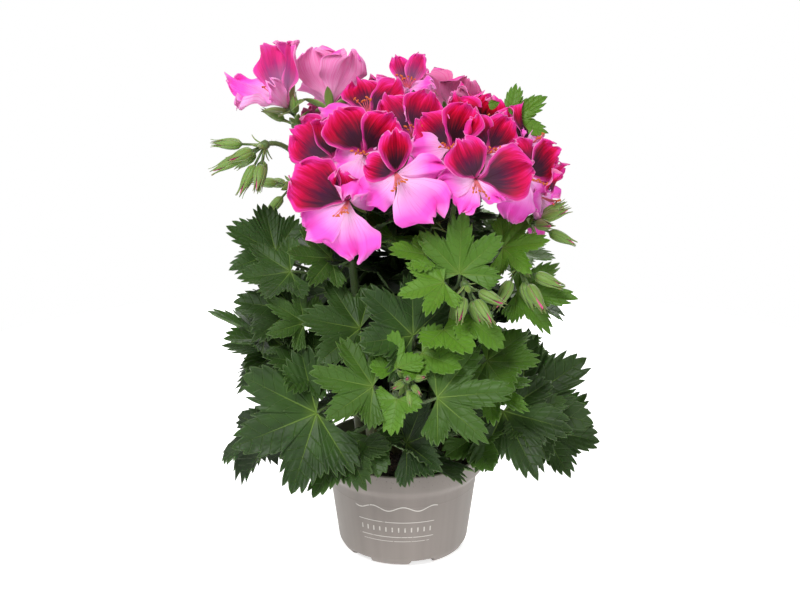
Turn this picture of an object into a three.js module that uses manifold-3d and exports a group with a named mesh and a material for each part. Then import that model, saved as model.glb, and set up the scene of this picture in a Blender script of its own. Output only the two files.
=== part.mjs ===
// A potted regal pelargonium: a taupe plastic pot of potting mix with leafy stems, toothed palmate leaves,
// hanging buds and a dome of two-toned ruffled flowers. Millimetres, +Z up, origin at the middle of the pot's base.
// The front of the plant looks along -Y. Headings are degrees from +X towards +Y, rises are degrees above level.
import * as THREE from "three";
import Module from "manifold-3d";

const wasm = await Module();
wasm.setup();

// Pot and potting mix
const RIM_RADIUS = 60;
const RIM_HEIGHT = 77;
const COLLAR_HEIGHT = 58;
const COLLAR_RADIUS = 53.2;
const COLLAR_FLARE = 5.5;
const FOOT_RADIUS = 46;
const FOOT_ROUND = 7;
const WALL = 1.3;
const LIP = 2.4;
const FLOOR_THICKNESS = 4.2;
const DRAIN_COUNT = 6;
const DRAIN_WIDTH = 18;
const DRAIN_HEIGHT = 2.6;
const DRAIN_DEPTH = 14;
const DRAIN_HOLE_RADIUS = 3.5;
const DRAIN_FIRST_ANGLE = -72;
const POT_SEGMENTS = 24;
const SOIL_HEIGHT = 68;
const SOIL_SWELL = 2.5;

// Plant
const GAP = 0.4;
const BLADE_THICKNESS = 0.8;
const PETAL_THICKNESS = 0.7;
const STEM_DEPTH = 16;
const STEM_FOOT_RADIUS = 4.4;
const STEM_TOP_RADIUS = 2.3;
const PETIOLE_RADIUS = 1.3;
const PEDUNCLE_RADIUS = 1.7;
const PEDICEL_RADIUS = 1.1;
const HUB_RADIUS = 3.4;
const CALYX_DEPTH = 12;
const CALYX_LENGTH = 7;
const CALYX_RADIUS = 2.4;
const SEPAL_REACH = 8.5;
const SEPAL_RISE = 5;
const SEPAL_NOTCH_DROP = 2.6;
const BUD_SLIMNESS = 7;
const BUD_BROADEST = 0.42;
const MITRE = 1.3;
const COLLAR_DROP = 0.5;
const COLLAR_SPREAD = 1.3;
const GOLDEN_ANGLE = 137.508;
const HEIGHT_SHARE = 0.754878;

// Leafy stems: foot x, y in the mix and the crown x, y, z that each leads up to
const STEMS = {
  front: { foot: [3, -24], crown: [2, -60, 150] },
  front_left: { foot: [-20, -16], crown: [-38, -40, 262] },
  left_tall: { foot: [-28, 4], crown: [-66, -6, 286] },
  centre: { foot: [-5, 0], crown: [-8, -14, 288] },
  front_right: { foot: [17, -15], crown: [30, -48, 248] },
  right: { foot: [30, 2], crown: [70, -16, 262] },
  right_low: { foot: [36, -16], crown: [58, -30, 132] },
  back_left: { foot: [-18, 24], crown: [-40, 34, 276] },
  back: { foot: [4, 32], crown: [14, 54, 270] },
  back_right: { foot: [24, 22], crown: [58, 22, 280] },
};

// Blooms: stem, throat x, y, z, heading and rise of the face, turn round its axis, petal length, openness,
// and the shares of that length that its two upper and three lower petals reach
const BLOOMS = {
  left_low: ["front_left", -38, -80, 276, -104, -4, 22, 42, 1, 1, 1],
  left_outer: ["front_left", -52, -48, 298, -134, 10, 22, 37, 1, 1, 0.95],
  left_upper: ["front_left", -26, -72, 309, -96, 20, 0, 38, 1, 1, 0.92],
  middle_low: ["centre", -4, -96, 298, -84, -4, 34, 39, 1, 0.76, 1.06],
  middle_upper: ["centre", 6, -52, 320, -88, 48, 10, 34, 0.8, 1, 1],
  middle_top: ["centre", -24, -30, 330, -115, 58, 0, 36, 0.85, 0.9, 1],
  right_upper: ["front_right", 29, -70, 313, -98, 24, 8, 38, 1, 1, 0.9],
  right_low: ["front_right", 47, -93, 293, -82, -6, -22, 39, 1, 1, 0.76],
  right_mid: ["front_right", 56, -62, 308, -72, 26, -8, 36, 0.9, 0.9, 1],
  side_mid: ["right", 84, -54, 287, -52, 4, -22, 37, 1, 0.95, 0.9],
  side_upper: ["right", 86, -26, 306, -22, 34, 0, 34, 0.9, 1, 1],
  side_low: ["right", 100, -26, 266, -18, -6, -12, 30, 0.9, 1, 1],
  top_left: ["left_tall", -78, -10, 332, 194, 48, 0, 46, 0.42, 1, 0.92],
  top_back: ["left_tall", -51, 6, 331, 84, 66, 0, 42, 0.55, 1, 0.85],
  top_middle: ["centre", 2, 6, 341, -104, 58, 0, 27, 0.4, 1, 1],
  crown_right: ["back_right", 52, -26, 318, -76, 60, 0, 34, 0.9, 1, 1],
  back_left_low: ["back_left", -66, 34, 292, 152, 8, 0, 37, 1, 1, 0.9],
  back_left_mid: ["back_left", -34, 66, 298, 112, 14, 12, 38, 1, 0.95, 1],
  back_left_top: ["back_left", -16, 36, 318, 112, 54, 0, 35, 0.85, 1, 1],
  back_low: ["back", 14, 82, 286, 84, 0, -10, 38, 1, 1, 0.9],
  back_upper: ["back", 34, 58, 312, 72, 34, 0, 36, 0.9, 1, 1],
  back_right_low: ["back_right", 74, 50, 286, 38, 6, 0, 37, 1, 0.95, 1],
  back_right_top: ["back_right", 62, 20, 315, 34, 50, 0, 34, 0.85, 1, 1],
};

// Bud bunches: stem, hub x, y, z, heading the bunch leans to, rise of its buds, count, bud length
const BUNCHES = {
  left: ["left_tall", -92, -22, 302, 190, -42, 7, 23],
  left_upright: ["left_tall", -72, -8, 312, 120, 62, 2, 17],
  right: ["front_right", 40, -76, 222, -60, -52, 5, 24],
  right_outer: ["right", 76, -52, 226, -70, -50, 4, 25],
  right_side: ["right", 84, -36, 252, -24, 4, 4, 22],
  low: ["front", 3, -88, 160, -88, 6, 5, 13],
  top: ["centre", 6, 8, 318, 60, 48, 4, 15],
  back: ["back", 26, 82, 240, 80, -40, 4, 22],
  back_left: ["back_left", -78, 52, 256, 140, -30, 4, 21],
};

// Leaves that show in front: stem, blade foot x, y, z, heading and rise of the tip, roll of the face, length, form
const FRONT_LEAVES = [
  ["front_left", -58, -74, 131, 196, -18, 62, 60, "broad"],
  ["front_left", -39, -70, 108, -126, -38, 14, 44, "broad"],
  ["front", -22, -70, 112, -78, -34, -8, 30, "small"],
  ["front", -20, -94, 158, 186, 14, 58, 44, "cut"],
  ["front", 22, -94, 150, -6, 8, -56, 50, "cut"],
  ["centre", 6, -74, 186, 188, 48, 62, 46, "broad"],
  ["front_left", -29, -60, 186, 186, 12, 48, 42, "broad"],
  ["left_tall", -75, -38, 192, 182, 8, 44, 40, "broad"],
  ["left_tall", -66, -54, 188, 192, 36, 64, 32, "cut"],
  ["left_tall", -94, -42, 172, 180, 28, 8, 42, "cut"],
  ["left_tall", -84, -24, 160, 184, 2, 34, 40, "broad"],
  ["front_left", -62, -52, 158, 202, 14, 46, 36, "broad"],
  ["left_tall", -87, -18, 226, 178, 28, 54, 38, "broad"],
  ["left_tall", -76, -36, 218, 190, -8, 34, 36, "broad"],
  ["front_left", -48, -44, 230, 204, 8, 50, 34, "cut"],
  ["front_right", 36, -78, 230, 82, 74, 0, 42, "cut"],
  ["front_right", 26, -84, 226, 200, -6, 44, 31, "cut"],
  ["front_right", 14, -68, 240, 186, 12, 30, 25, "small"],
  ["right", 76, -48, 208, -4, -8, -46, 40, "cut"],
  ["right", 66, -46, 238, -22, 14, -50, 33, "cut"],
  ["right_low", 82, -26, 118, 4, 36, -64, 56, "broad"],
  ["right_low", 98, -18, 96, -4, -12, -58, 42, "broad"],
  ["right_low", 84, -52, 122, -18, -24, -44, 33, "broad"],
  ["right_low", 68, -54, 124, -54, -44, -26, 52, "broad"],
  ["right", 56, -58, 162, -22, 4, -34, 38, "broad"],
  ["right_low", 56, -66, 146, -34, -18, -30, 34, "cut"],
  ["front", 2, -72, 108, -22, 28, -58, 40, "broad"],
  ["front", 10, -60, 94, -46, -8, 26, 43, "broad"],
  ["front", 46, -64, 108, -62, -28, -22, 32, "small"],
  ["centre", 12, -80, 176, -28, -12, -46, 31, "small"],
  ["front", -4, -92, 170, 112, 54, 8, 26, "small"],
  ["front", -4, -96, 150, -108, -46, 0, 25, "small"],
  ["front_right", 26, -84, 194, -50, -18, -20, 29, "small"],
  ["front_right", 44, -80, 198, -22, -30, -30, 27, "small"],
  ["back_right", 70, -8, 314, 12, 30, -58, 31, "cut"],
];

// The rest of the leaves are placed by rule, all round and in two depths
const FILL_TRIES = 900;
const FILL_MOST = 20;
const FILL_SEED = 20;
const FILL_LOW = 92;
const FILL_HIGH = 244;
const FILL_SPACING = 0.34;
const SHOWN_SPACING = 0.42;
const BUSH_RADIUS = 124;
const BUSH_TOP_RADIUS = 96;
const INNER_SHARE = 0.66;
const INNER_CHANCE = 0.3;
const FILL_LENGTH = [50, -17];
const FILL_RISE = [-34, 40];
const FILL_SWING = 64;
const FILL_ROLL_SHARE = -0.55;

// Tests for room: a blade is taken as a round plate, set forward and up from its foot as shares of its length
const PLATE_CENTRE = 0.25;
const PLATE_RADIUS = 0.8;
const PLATE_RISE = 0.06;
const PLATE_CLEARANCE = 3.5;
const RIB_ANGLES = [-98, -49, 0, 49, 98];
const STEM_SAMPLES = [0, 0.25, 0.5, 0.75, 1];
const STEM_CLEARANCE = 6;

// Bows that a petiole tries on its way to the blade
const BOWS = [[0, 0, 0], [0, 0, 8], [9, 0, 2], [-9, 0, 2], [0, 9, 2], [0, -9, 2], [0, 0, -9], [14, 9, 0], [-14, 9, 0]];
const PETIOLE_CLEARANCE = 3.4;
const BOW_SAMPLES = [0.12, 0.25, 0.4, 0.55, 0.7, 0.85, 0.93];

// Palmate outlines: lobe headings and reaches, and the depth of the cuts between lobes
const FORMS = {
  broad: { lobes: [-98, -49, 0, 49, 98], reach: [0.78, 0.93, 1, 0.93, 0.78], cut: 0.22 },
  cut: { lobes: [-92, -46, 0, 46, 92], reach: [0.66, 0.9, 1, 0.9, 0.66], cut: 0.4 },
  small: { lobes: [-78, 0, 78], reach: [0.72, 1, 0.72], cut: 0.36 },
  plain: { lobes: [-98, -49, 0, 49, 98], reach: [0.82, 0.96, 1, 0.96, 0.82], cut: 0.2, plain: true },
};
const BASAL_REACH = 0.52;
const SIDE_TOOTH = 0.5;
const SIDE_TOOTH_REACH = 0.91;
const BLADE_CUP = 0.16;
const BLADE_FOLD = 0.13;
const BLADE_DROOP = 0.16;
const LOBE_LIFT = 0.09;

// Five petals: angle round the face from straight up, share of the petal length, half width, slope at the tip,
// place in the pair of shares of its bloom
const PETALS = [
  { angle: 32, length: 1, width: 0.47, tip: 4, rank: 0 },
  { angle: 104, length: 0.93, width: 0.37, tip: -14, rank: 1 },
  { angle: 180, length: 1, width: 0.41, tip: -20, rank: 1 },
  { angle: 256, length: 0.93, width: 0.37, tip: -14, rank: 1 },
  { angle: 328, length: 1, width: 0.47, tip: 4, rank: 0 },
];
const PETAL_ROWS = [
  { v: 0.25, w: [-1, 1] },
  { v: 0.72, w: [-1, 0, 1] },
  { v: 1, w: [-0.9, -0.32, 0.32, 0.9] },
];
const THROAT_SLOPE = 64;
const CLOSED_SLOPE = 74;
const THROAT_END = 0.25;
const THROAT_FILL = 0.42;
const FLARE_FILL = 3;
const CLOSED_WIDTH = 0.3;
const BROADEST = 0.8;
const END_NARROWING = 0.42;
const END_ROUNDING = 0.1;
const RUFFLE_TURNS = 5.2;
const RUFFLE = 0.09;
const PETAL_TWIST = 0.075;

const radians = (degrees) => (degrees * Math.PI) / 180;
const add = (a, b) => a.map((x, i) => x + b[i]);
const sub = (a, b) => a.map((x, i) => x - b[i]);
const scale = (a, k) => a.map((x) => x * k);
const dot = (a, b) => a[0] * b[0] + a[1] * b[1] + a[2] * b[2];
const cross = (a, b) => [a[1] * b[2] - a[2] * b[1], a[2] * b[0] - a[0] * b[2], a[0] * b[1] - a[1] * b[0]];
const size = (a) => Math.sqrt(dot(a, a));
const unit = (a) => scale(a, 1 / size(a));
const along = (origin, direction, distance) => add(origin, scale(direction, distance));
const mix = (a, b, share) => a.map((x, i) => x + (b[i] - x) * share);
const bend = (a, b, c, u) => mix(mix(a, b, u), mix(b, c, u), u);
const clamp = (x, low, high) => Math.min(high, Math.max(low, x));

// The same draws on every run
function makeRandom(seed) {
  let state = seed * 7919 + 12345;
  return (low = 0, high = 1) => {
    state = (state * 1664525 + 1013904223) % 4294967296;
    return low + ((high - low) * state) / 4294967296;
  };
}

// Three axes from a heading, a rise and a roll: tip, side and face
function frameOf(heading, rise, roll) {
  const h = radians(heading);
  const r = radians(rise);
  const tip = [Math.cos(r) * Math.cos(h), Math.cos(r) * Math.sin(h), Math.sin(r)];
  const up = unit(along([0, 0, 1], tip, -tip[2]));
  const left = cross(up, tip);
  const face = add(scale(up, Math.cos(radians(roll))), scale(left, Math.sin(radians(roll))));
  return { tip, face, side: cross(face, tip) };
}

// A closed solid from points and outward triangles
function solidFrom(points, faces) {
  const mesh = new wasm.Mesh({
    numProp: 3,
    vertProperties: new Float32Array(points.flat()),
    triVerts: new Uint32Array(faces.flat()),
  });
  return new wasm.Manifold(mesh);
}

// Rings of corners across a path, turned as little as possible from one to the next
function ringsAlong(points, radii, sides, firstAcross) {
  let across = firstAcross;
  return points.map((point, i) => {
    const before = points[Math.max(0, i - 1)];
    const after = points[Math.min(points.length - 1, i + 1)];
    const direction = unit(sub(after, before));
    across = unit(along(across, direction, -dot(across, direction)));
    const other = cross(direction, across);
    return Array.from({ length: sides }, (_, k) => {
      const turn = (2 * Math.PI * k) / sides;
      const out = add(scale(across, Math.cos(turn)), scale(other, Math.sin(turn)));
      return along(point, out, radii[i]);
    });
  });
}

// The side faces between rings that follow each other in a list of points, and the flat end of the first ring
function ringFaces(rings, sides) {
  const faces = [];
  for (let k = 1; k + 1 < sides; k++) faces.push([0, k + 1, k]);
  for (let i = 0; i + 1 < rings; i++) {
    for (let k = 0; k < sides; k++) {
      const a = i * sides + k;
      const b = i * sides + ((k + 1) % sides);
      faces.push([a, b, b + sides], [a, b + sides, a + sides]);
    }
  }
  return faces;
}

// A tube through points with a radius at each, pointed where the last radius is zero
function tube(points, radii, sides) {
  const direction = unit(sub(points[1], points[0]));
  const pointed = radii[radii.length - 1] === 0;
  const body = pointed ? points.slice(0, -1) : points;
  const rings = ringsAlong(points, radii, sides, Math.abs(direction[2]) > 0.9 ? [1, 0, 0] : [0, 0, 1]);
  const vertices = rings.slice(0, body.length).flat();
  const faces = ringFaces(body.length, sides);
  const last = (body.length - 1) * sides;
  if (pointed) vertices.push(points[points.length - 1]);
  for (let k = 0; k < sides; k++) {
    if (pointed) faces.push([last + k, last + ((k + 1) % sides), last + sides]);
    if (!pointed && k && k + 1 < sides) faces.push([last, last + k, last + k + 1]);
  }
  return solidFrom(vertices, faces);
}

// Normals of a surface of points and triangles
function normalsOf(points, faces) {
  const normals = points.map(() => [0, 0, 0]);
  for (const [a, b, c] of faces) {
    const n = cross(sub(points[b], points[a]), sub(points[c], points[a]));
    for (const i of [a, b, c]) normals[i] = add(normals[i], n);
  }
  return normals.map(unit);
}

// The edges of a surface that only one triangle has
function borderOf(faces) {
  const edges = new Map();
  for (const [a, b, c] of faces) {
    for (const [i, j] of [[a, b], [b, c], [c, a]]) edges.set(`${i},${j}`, [i, j]);
  }
  return [...edges.values()].filter(([i, j]) => !edges.has(`${j},${i}`));
}

// A surface's points with those on its border pushed outwards along the surface
function widen(points, normals, border, grow) {
  const widened = points.map((point) => point);
  const pushes = points.map(() => [0, 0, 0]);
  for (const [i, j] of border) {
    const edge = unit(sub(points[j], points[i]));
    for (const k of [i, j]) pushes[k] = add(pushes[k], unit(cross(edge, normals[k])));
  }
  for (const [i] of border) widened[i] = along(points[i], unit(pushes[i]), MITRE * grow);
  return widened;
}

// A thin blade of even thickness on a surface of points and triangles
function blade(points, faces, thickness, grow) {
  const normals = normalsOf(points, faces);
  const border = borderOf(faces);
  const widened = widen(points, normals, border, grow);
  const count = points.length;
  const upper = widened.map((p, i) => along(p, normals[i], thickness / 2 + grow));
  const lower = widened.map((p, i) => along(p, normals[i], -thickness / 2 - grow));
  const shell = faces.flatMap(([a, b, c]) => [[a, b, c], [a + count, c + count, b + count]]);
  for (const [i, j] of border) shell.push([i, i + count, j + count], [i, j + count, j]);
  return solidFrom([...upper, ...lower], shell);
}

// The outline of a leaf as angles and reaches round its foot, from one side of the petiole to the other
function leafOutline(form) {
  const { lobes, reach, cut, plain } = FORMS[form];
  const half = (lobes[1] - lobes[0]) / 2;
  const last = lobes.length - 1;
  const corners = [{ angle: lobes[0] - half, reach: BASAL_REACH, lobe: 0, edge: 1 }];
  lobes.forEach((centre, i) => {
    const corner = (offset, share) =>
      corners.push({ angle: centre + offset * half, reach: reach[i] * share, lobe: i, edge: Math.abs(offset) });
    const toothed = i > 0 && i < last && !plain;
    if (toothed) corner(-SIDE_TOOTH, SIDE_TOOTH_REACH);
    corner(0, 1);
    if (toothed) corner(SIDE_TOOTH, SIDE_TOOTH_REACH);
    if (i < last) {
      const valley = (1 - cut) * 0.5 * (reach[i] + reach[i + 1]);
      corners.push({ angle: centre + half, reach: valley, lobe: i, edge: 1 });
    }
  });
  corners.push({ angle: lobes[last] + half, reach: BASAL_REACH, lobe: last, edge: 1 });
  return corners;
}

// How far a leaf's surface stands above its flat plane, as a share of its length
function leafHeight(leaf, angle, reach, lobe, edge) {
  const folded = BLADE_FOLD * edge * reach;
  const cupped = BLADE_CUP * leaf.cup * reach * reach;
  const drooped = BLADE_DROOP * leaf.droop * reach * reach * Math.max(0, Math.cos(radians(angle)));
  return folded + cupped - drooped + leaf.lifts[lobe] * reach * reach;
}

function leafPoint(leaf, angle, reach, height) {
  const a = radians(angle);
  const flat = add(scale(leaf.tip, Math.cos(a) * reach), scale(leaf.side, Math.sin(a) * reach));
  return along(leaf.foot, along(flat, leaf.face, height), leaf.length);
}

function makeLeaf(row, seed) {
  const [stem, x, y, z, heading, rise, roll, length, form] = row;
  const random = makeRandom(seed);
  return {
    stem,
    foot: [x, y, z],
    ...frameOf(heading, rise, roll),
    length,
    form,
    cup: random(0.5, 1.4),
    droop: random(0.3, 1.3),
    lifts: FORMS[form].lobes.map(() => random(-LOBE_LIFT, LOBE_LIFT)),
    spacing: form === "plain" ? FILL_SPACING : SHOWN_SPACING,
    bow: [0, 0, 0],
  };
}

function stemPath(name) {
  const { foot, crown } = STEMS[name];
  const start = [foot[0], foot[1], SOIL_HEIGHT];
  const knee = [foot[0] * 1.25 + crown[0] * 0.1, foot[1] * 1.25 + crown[1] * 0.1, (SOIL_HEIGHT + crown[2]) / 2];
  return (u) => bend(start, knee, crown, u);
}

// Where a petiole leaves its stem: low enough to climb to the blade
function petioleStart(leaf) {
  const path = stemPath(leaf.stem);
  const { crown } = STEMS[leaf.stem];
  const share = (z) => clamp((z - SOIL_HEIGHT) / (crown[2] - SOIL_HEIGHT), 0.05, 0.97);
  const level = path(share(leaf.foot[2]));
  const away = Math.hypot(leaf.foot[0] - level[0], leaf.foot[1] - level[1]);
  return path(share(leaf.foot[2] - 0.6 * away));
}

// A petiole comes up under the blade from behind, with a bow to get past what is in its way
function petiolePath(leaf, bow) {
  const start = petioleStart(leaf);
  const span = size(sub(leaf.foot, start));
  const middle = add(along(along(leaf.foot, leaf.tip, -0.3 * span), leaf.face, -0.3 * span), bow);
  const end = along(leaf.foot, leaf.face, -BLADE_THICKNESS / 2);
  return (u) => bend(start, middle, end, u);
}

// A leaf with its petiole, in one piece: the petiole's last ring opens into the underside of the blade
function leafSolid(leaf, grow) {
  const outline = leafOutline(leaf.form);
  const flat = [leaf.foot];
  const fan = [];
  outline.forEach(({ angle, reach, lobe, edge }, i) => {
    const height = leafHeight(leaf, angle, reach, lobe, edge);
    flat.push(leafPoint(leaf, angle, reach, height));
    if (i) fan.push([0, i, i + 1]);
  });
  const normals = normalsOf(flat, fan);
  const widened = widen(flat, normals, borderOf(fan), grow);
  const half = BLADE_THICKNESS / 2 + grow;
  const count = outline.length;
  const radius = PETIOLE_RADIUS + grow;
  const path = petiolePath(leaf, leaf.bow);
  const stalk = [1, 0.5, 0].map(path);
  const backward = ringsAlong(stalk, [radius, radius, radius], 3, scale(leaf.tip, -1));
  const mirrored = ([a, b, c]) => [a, c, b];
  const shift = (tip, side) =>
    along(along(along(leaf.foot, leaf.tip, tip * radius), leaf.side, side * radius), leaf.face, -half - COLLAR_DROP);
  const collar = [along(widened[0], leaf.face, -half), shift(COLLAR_SPREAD, -1.1), shift(COLLAR_SPREAD, 1.1)];
  const vertices = [...mirrored(backward[2]), ...mirrored(backward[1]), ...collar];
  const [rear, left, right] = [6, 7, 8];
  const faces = ringFaces(3, 3);
  const upper = (i) => 9 + i;
  const lower = (i) => (i ? 9 + count + i : rear);
  widened.forEach((point, i) => vertices.push(along(point, normals[i], half)));
  widened.slice(1).forEach((point, i) => vertices.push(along(point, normals[i + 1], -half)));
  const middle = Math.ceil((count + 1) / 2);
  faces.push([rear, left, lower(1)], [left, right, lower(middle)], [right, rear, lower(count)]);
  for (let i = 1; i < count; i++) {
    faces.push([upper(0), upper(i), upper(i + 1)]);
    faces.push([i < middle ? left : right, lower(i + 1), lower(i)]);
  }
  for (let i = 0; i <= count; i++) {
    const next = (i + 1) % (count + 1);
    faces.push([upper(i), lower(i), lower(next)], [upper(i), lower(next), upper(next)]);
  }
  return solidFrom(vertices, faces);
}

// Whether a row of points runs through a leaf's blade, taken as a round plate, or too near it
function crossesPlate(leaf, points) {
  const local = points.map((point) => {
    const offset = sub(point, leaf.foot);
    return [dot(offset, leaf.tip), dot(offset, leaf.side), dot(offset, leaf.face) - PLATE_RISE * leaf.length];
  });
  const inside = (p) => Math.hypot(p[0] - PLATE_CENTRE * leaf.length, p[1]) < PLATE_RADIUS * leaf.length;
  return local.some((p, i) => {
    if (inside(p) && Math.abs(p[2]) < PLATE_CLEARANCE) return true;
    if (i === 0 || p[2] * local[i - 1][2] >= 0) return false;
    return inside(mix(local[i - 1], p, local[i - 1][2] / (local[i - 1][2] - p[2])));
  });
}

const ribs = (leaf) => RIB_ANGLES.map((angle) => [leafPoint(leaf, angle, 0.08, 0), leafPoint(leaf, angle, 0.92, 0.06)]);
const bladesCross = (a, b) =>
  ribs(a).some((rib) => crossesPlate(b, rib)) || ribs(b).some((rib) => crossesPlate(a, rib));
const bladeCentre = (leaf) => along(leaf.foot, leaf.tip, 0.3 * leaf.length);

function fillLeaves(placed) {
  const random = makeRandom(FILL_SEED);
  const made = [];
  for (let k = 0; k < FILL_TRIES && made.length < FILL_MOST; k++) {
    const up = (k * HEIGHT_SHARE) % 1;
    const heading = (k * GOLDEN_ANGLE) % 360;
    const z = FILL_LOW + (FILL_HIGH - FILL_LOW) * up;
    const length = FILL_LENGTH[0] + FILL_LENGTH[1] * up + random(-3, 3);
    const rise = FILL_RISE[0] + FILL_RISE[1] * up + random(-12, 12);
    const swing = random(-FILL_SWING, FILL_SWING);
    const roll = random(-15, 15) + FILL_ROLL_SHARE * swing;
    const inner = random() < INNER_CHANCE ? INNER_SHARE : 1;
    const reach = (BUSH_RADIUS + (BUSH_TOP_RADIUS - BUSH_RADIUS) * up * up) * inner;
    const away = reach - length * Math.cos(radians(rise)) * Math.cos(radians(0.8 * swing));
    const foot = [away * Math.cos(radians(heading)), away * Math.sin(radians(heading))];
    const leaf = makeLeaf(["front", ...foot, z, heading + swing, rise, roll, length, "plain"], 500 + k);
    const clear = [...placed, ...made].every((other) => {
      const apart = size(sub(bladeCentre(leaf), bladeCentre(other)));
      return apart > other.spacing * (leaf.length + other.length) && !bladesCross(leaf, other);
    });
    const clearOfStems = Object.keys(STEMS).every((name) => !crossesPlate(leaf, STEM_SAMPLES.map(stemPath(name))));
    if (!clear || !clearOfStems) continue;
    let best = Infinity;
    for (const name of Object.keys(STEMS)) {
      const far = size(sub(leaf.foot, petioleStart({ ...leaf, stem: name })));
      if (far < best && STEMS[name].crown[2] > z) {
        best = far;
        leaf.stem = name;
      }
    }
    made.push(leaf);
  }
  return made;
}

// How near two straight stretches come to each other
function stretchGap([a, b], [c, d]) {
  const [u, v, w] = [sub(b, a), sub(d, c), sub(a, c)];
  const [uu, uv, vv, uw, vw] = [dot(u, u), dot(u, v), dot(v, v), dot(u, w), dot(v, w)];
  const s = clamp((uv * vw - vv * uw) / Math.max(uu * vv - uv * uv, 1e-9), 0, 1);
  const t = clamp((uv * s + vw) / vv, 0, 1);
  const r = clamp((uv * t - uw) / uu, 0, 1);
  return size(sub(along(a, u, r), along(c, v, t)));
}

// The bow that takes a petiole past the most blades, stems and petioles
function chooseBow(leaf, leaves) {
  let fewest = Infinity;
  for (const bow of BOWS) {
    const points = BOW_SAMPLES.map(petiolePath(leaf, bow));
    let met = leaves.filter((other) => other !== leaf && crossesPlate(other, points)).length;
    for (const name of Object.keys(STEMS)) {
      if (name === leaf.stem) continue;
      const { crown } = STEMS[name];
      const hits = points.some((point) => {
        const u = (point[2] - SOIL_HEIGHT) / (crown[2] - SOIL_HEIGHT);
        const at = stemPath(name)(clamp(u, 0, 1));
        return u < 1 && Math.hypot(point[0] - at[0], point[1] - at[1]) < STEM_CLEARANCE;
      });
      if (hits) met += 3;
    }
    for (const other of leaves.slice(0, leaves.indexOf(leaf))) {
      const theirs = BOW_SAMPLES.map(petiolePath(other, other.bow));
      const near = points.slice(1).some((p, i) =>
        theirs.slice(1).some((q, j) => stretchGap([points[i], p], [theirs[j], q]) < PETIOLE_CLEARANCE));
      if (near) met += other.stem === leaf.stem ? 0.5 : 2;
    }
    if (met < fewest) {
      fewest = met;
      leaf.bow = bow;
    }
  }
}

// A petal's midline climbs out of the throat and then spreads: its distance out, its distance forward and its slope
function petalProfile(petal, openness, share) {
  const steps = 8;
  const tip = petal.tip + (1 - openness) * CLOSED_SLOPE;
  const slopeAt = (at) => radians(THROAT_SLOPE + (tip - THROAT_SLOPE) * clamp(at / 0.5, 0, 1));
  let out = 0;
  let forward = 0;
  for (let i = 0; i < steps; i++) {
    const slope = slopeAt((share * (i + 0.5)) / steps);
    out += (Math.cos(slope) * share) / steps;
    forward += (Math.sin(slope) * share) / steps;
  }
  return [out, forward, slopeAt(share)];
}

// Half width of a petal: the petals fill the throat side by side, then broaden over each other to rounded ends
function petalHalf(petal, openness, v, outward) {
  const opened = Math.sin((Math.PI / 2) * clamp(v / BROADEST, 0, 1)) ** 1.5;
  const ended = Math.sqrt(1 - END_NARROWING * clamp((v - BROADEST) / (1 - BROADEST), 0, 1) ** 2);
  const spread = petal.width * (CLOSED_WIDTH + (1 - CLOSED_WIDTH) * openness) * opened * ended;
  return Math.min(spread, (THROAT_FILL + FLARE_FILL * openness * Math.max(0, v - THROAT_END)) * outward);
}

// A point of a petal, from the share of its length and of its half width. One side of each petal stands over the next
function petalPoint(bloom, petal, phase, v, w) {
  const angle = radians(petal.angle);
  const out = add(scale(bloom.up, Math.cos(angle)), scale(bloom.side, Math.sin(angle)));
  const across = cross(bloom.axis, out);
  const length = bloom.length * petal.length * bloom.shares[petal.rank];
  const [outward, forward, slope] = petalProfile(petal, bloom.openness, v * (1 - END_ROUNDING * w * w * v * v));
  const front = along(scale(bloom.axis, Math.cos(slope)), out, -Math.sin(slope));
  const ruffle = RUFFLE * v * v * v * (1 - w * w) * Math.sin(phase + RUFFLE_TURNS * w);
  const twist = PETAL_TWIST * w * v;
  const half = petalHalf(petal, bloom.openness, v, outward);
  const base = along(along(bloom.base, bloom.axis, forward * length), front, (ruffle + twist) * length);
  return along(along(base, out, outward * length), across, w * half * length);
}

function makeBloom(row, seed) {
  const [stem, x, y, z, heading, rise, turn, length, openness, upper, lower] = row;
  const { tip: axis, face } = frameOf(heading, rise, 0);
  const t = radians(turn);
  const up = add(scale(face, Math.cos(t)), scale(cross(axis, face), Math.sin(t)));
  const random = makeRandom(seed);
  return {
    stem,
    axis,
    up,
    side: cross(axis, up),
    base: along([x, y, z], axis, -CALYX_DEPTH),
    length,
    openness,
    shares: [upper, lower],
    phases: PETALS.map(() => random(0, 2 * Math.PI)),
  };
}

// Five petals in one piece that grow from the throat
function bloomSolid(bloom, grow) {
  const points = [bloom.base];
  const faces = [];
  const sides = [];
  PETALS.forEach((petal, p) => {
    let previous = null;
    for (const { v, w } of PETAL_ROWS) {
      const row = w.map((x) => points.push(petalPoint(bloom, petal, bloom.phases[p], v, x)) - 1);
      if (previous) faces.push(...strip(previous, row));
      else sides.push(row);
      previous = row;
    }
  });
  sides.forEach(([left, right], p) => {
    faces.push([0, left, right], [0, right, sides[(p + 1) % sides.length][0]]);
  });
  return blade(points, faces, PETAL_THICKNESS, grow);
}

// Triangles between two rows of points of a blade, the first nearer the root
function strip(near, far) {
  const faces = [];
  let i = 0;
  let j = 0;
  while (i + 1 < near.length || j + 1 < far.length) {
    const nearShare = i + 1 < near.length ? (i + 0.5) / (near.length - 1) : Infinity;
    const farShare = j + 1 < far.length ? (j + 0.5) / (far.length - 1) : Infinity;
    if (farShare <= nearShare) faces.push([near[i], far[j], far[++j]]);
    else faces.push([near[i], far[j], near[++i]]);
  }
  return faces;
}

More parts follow.
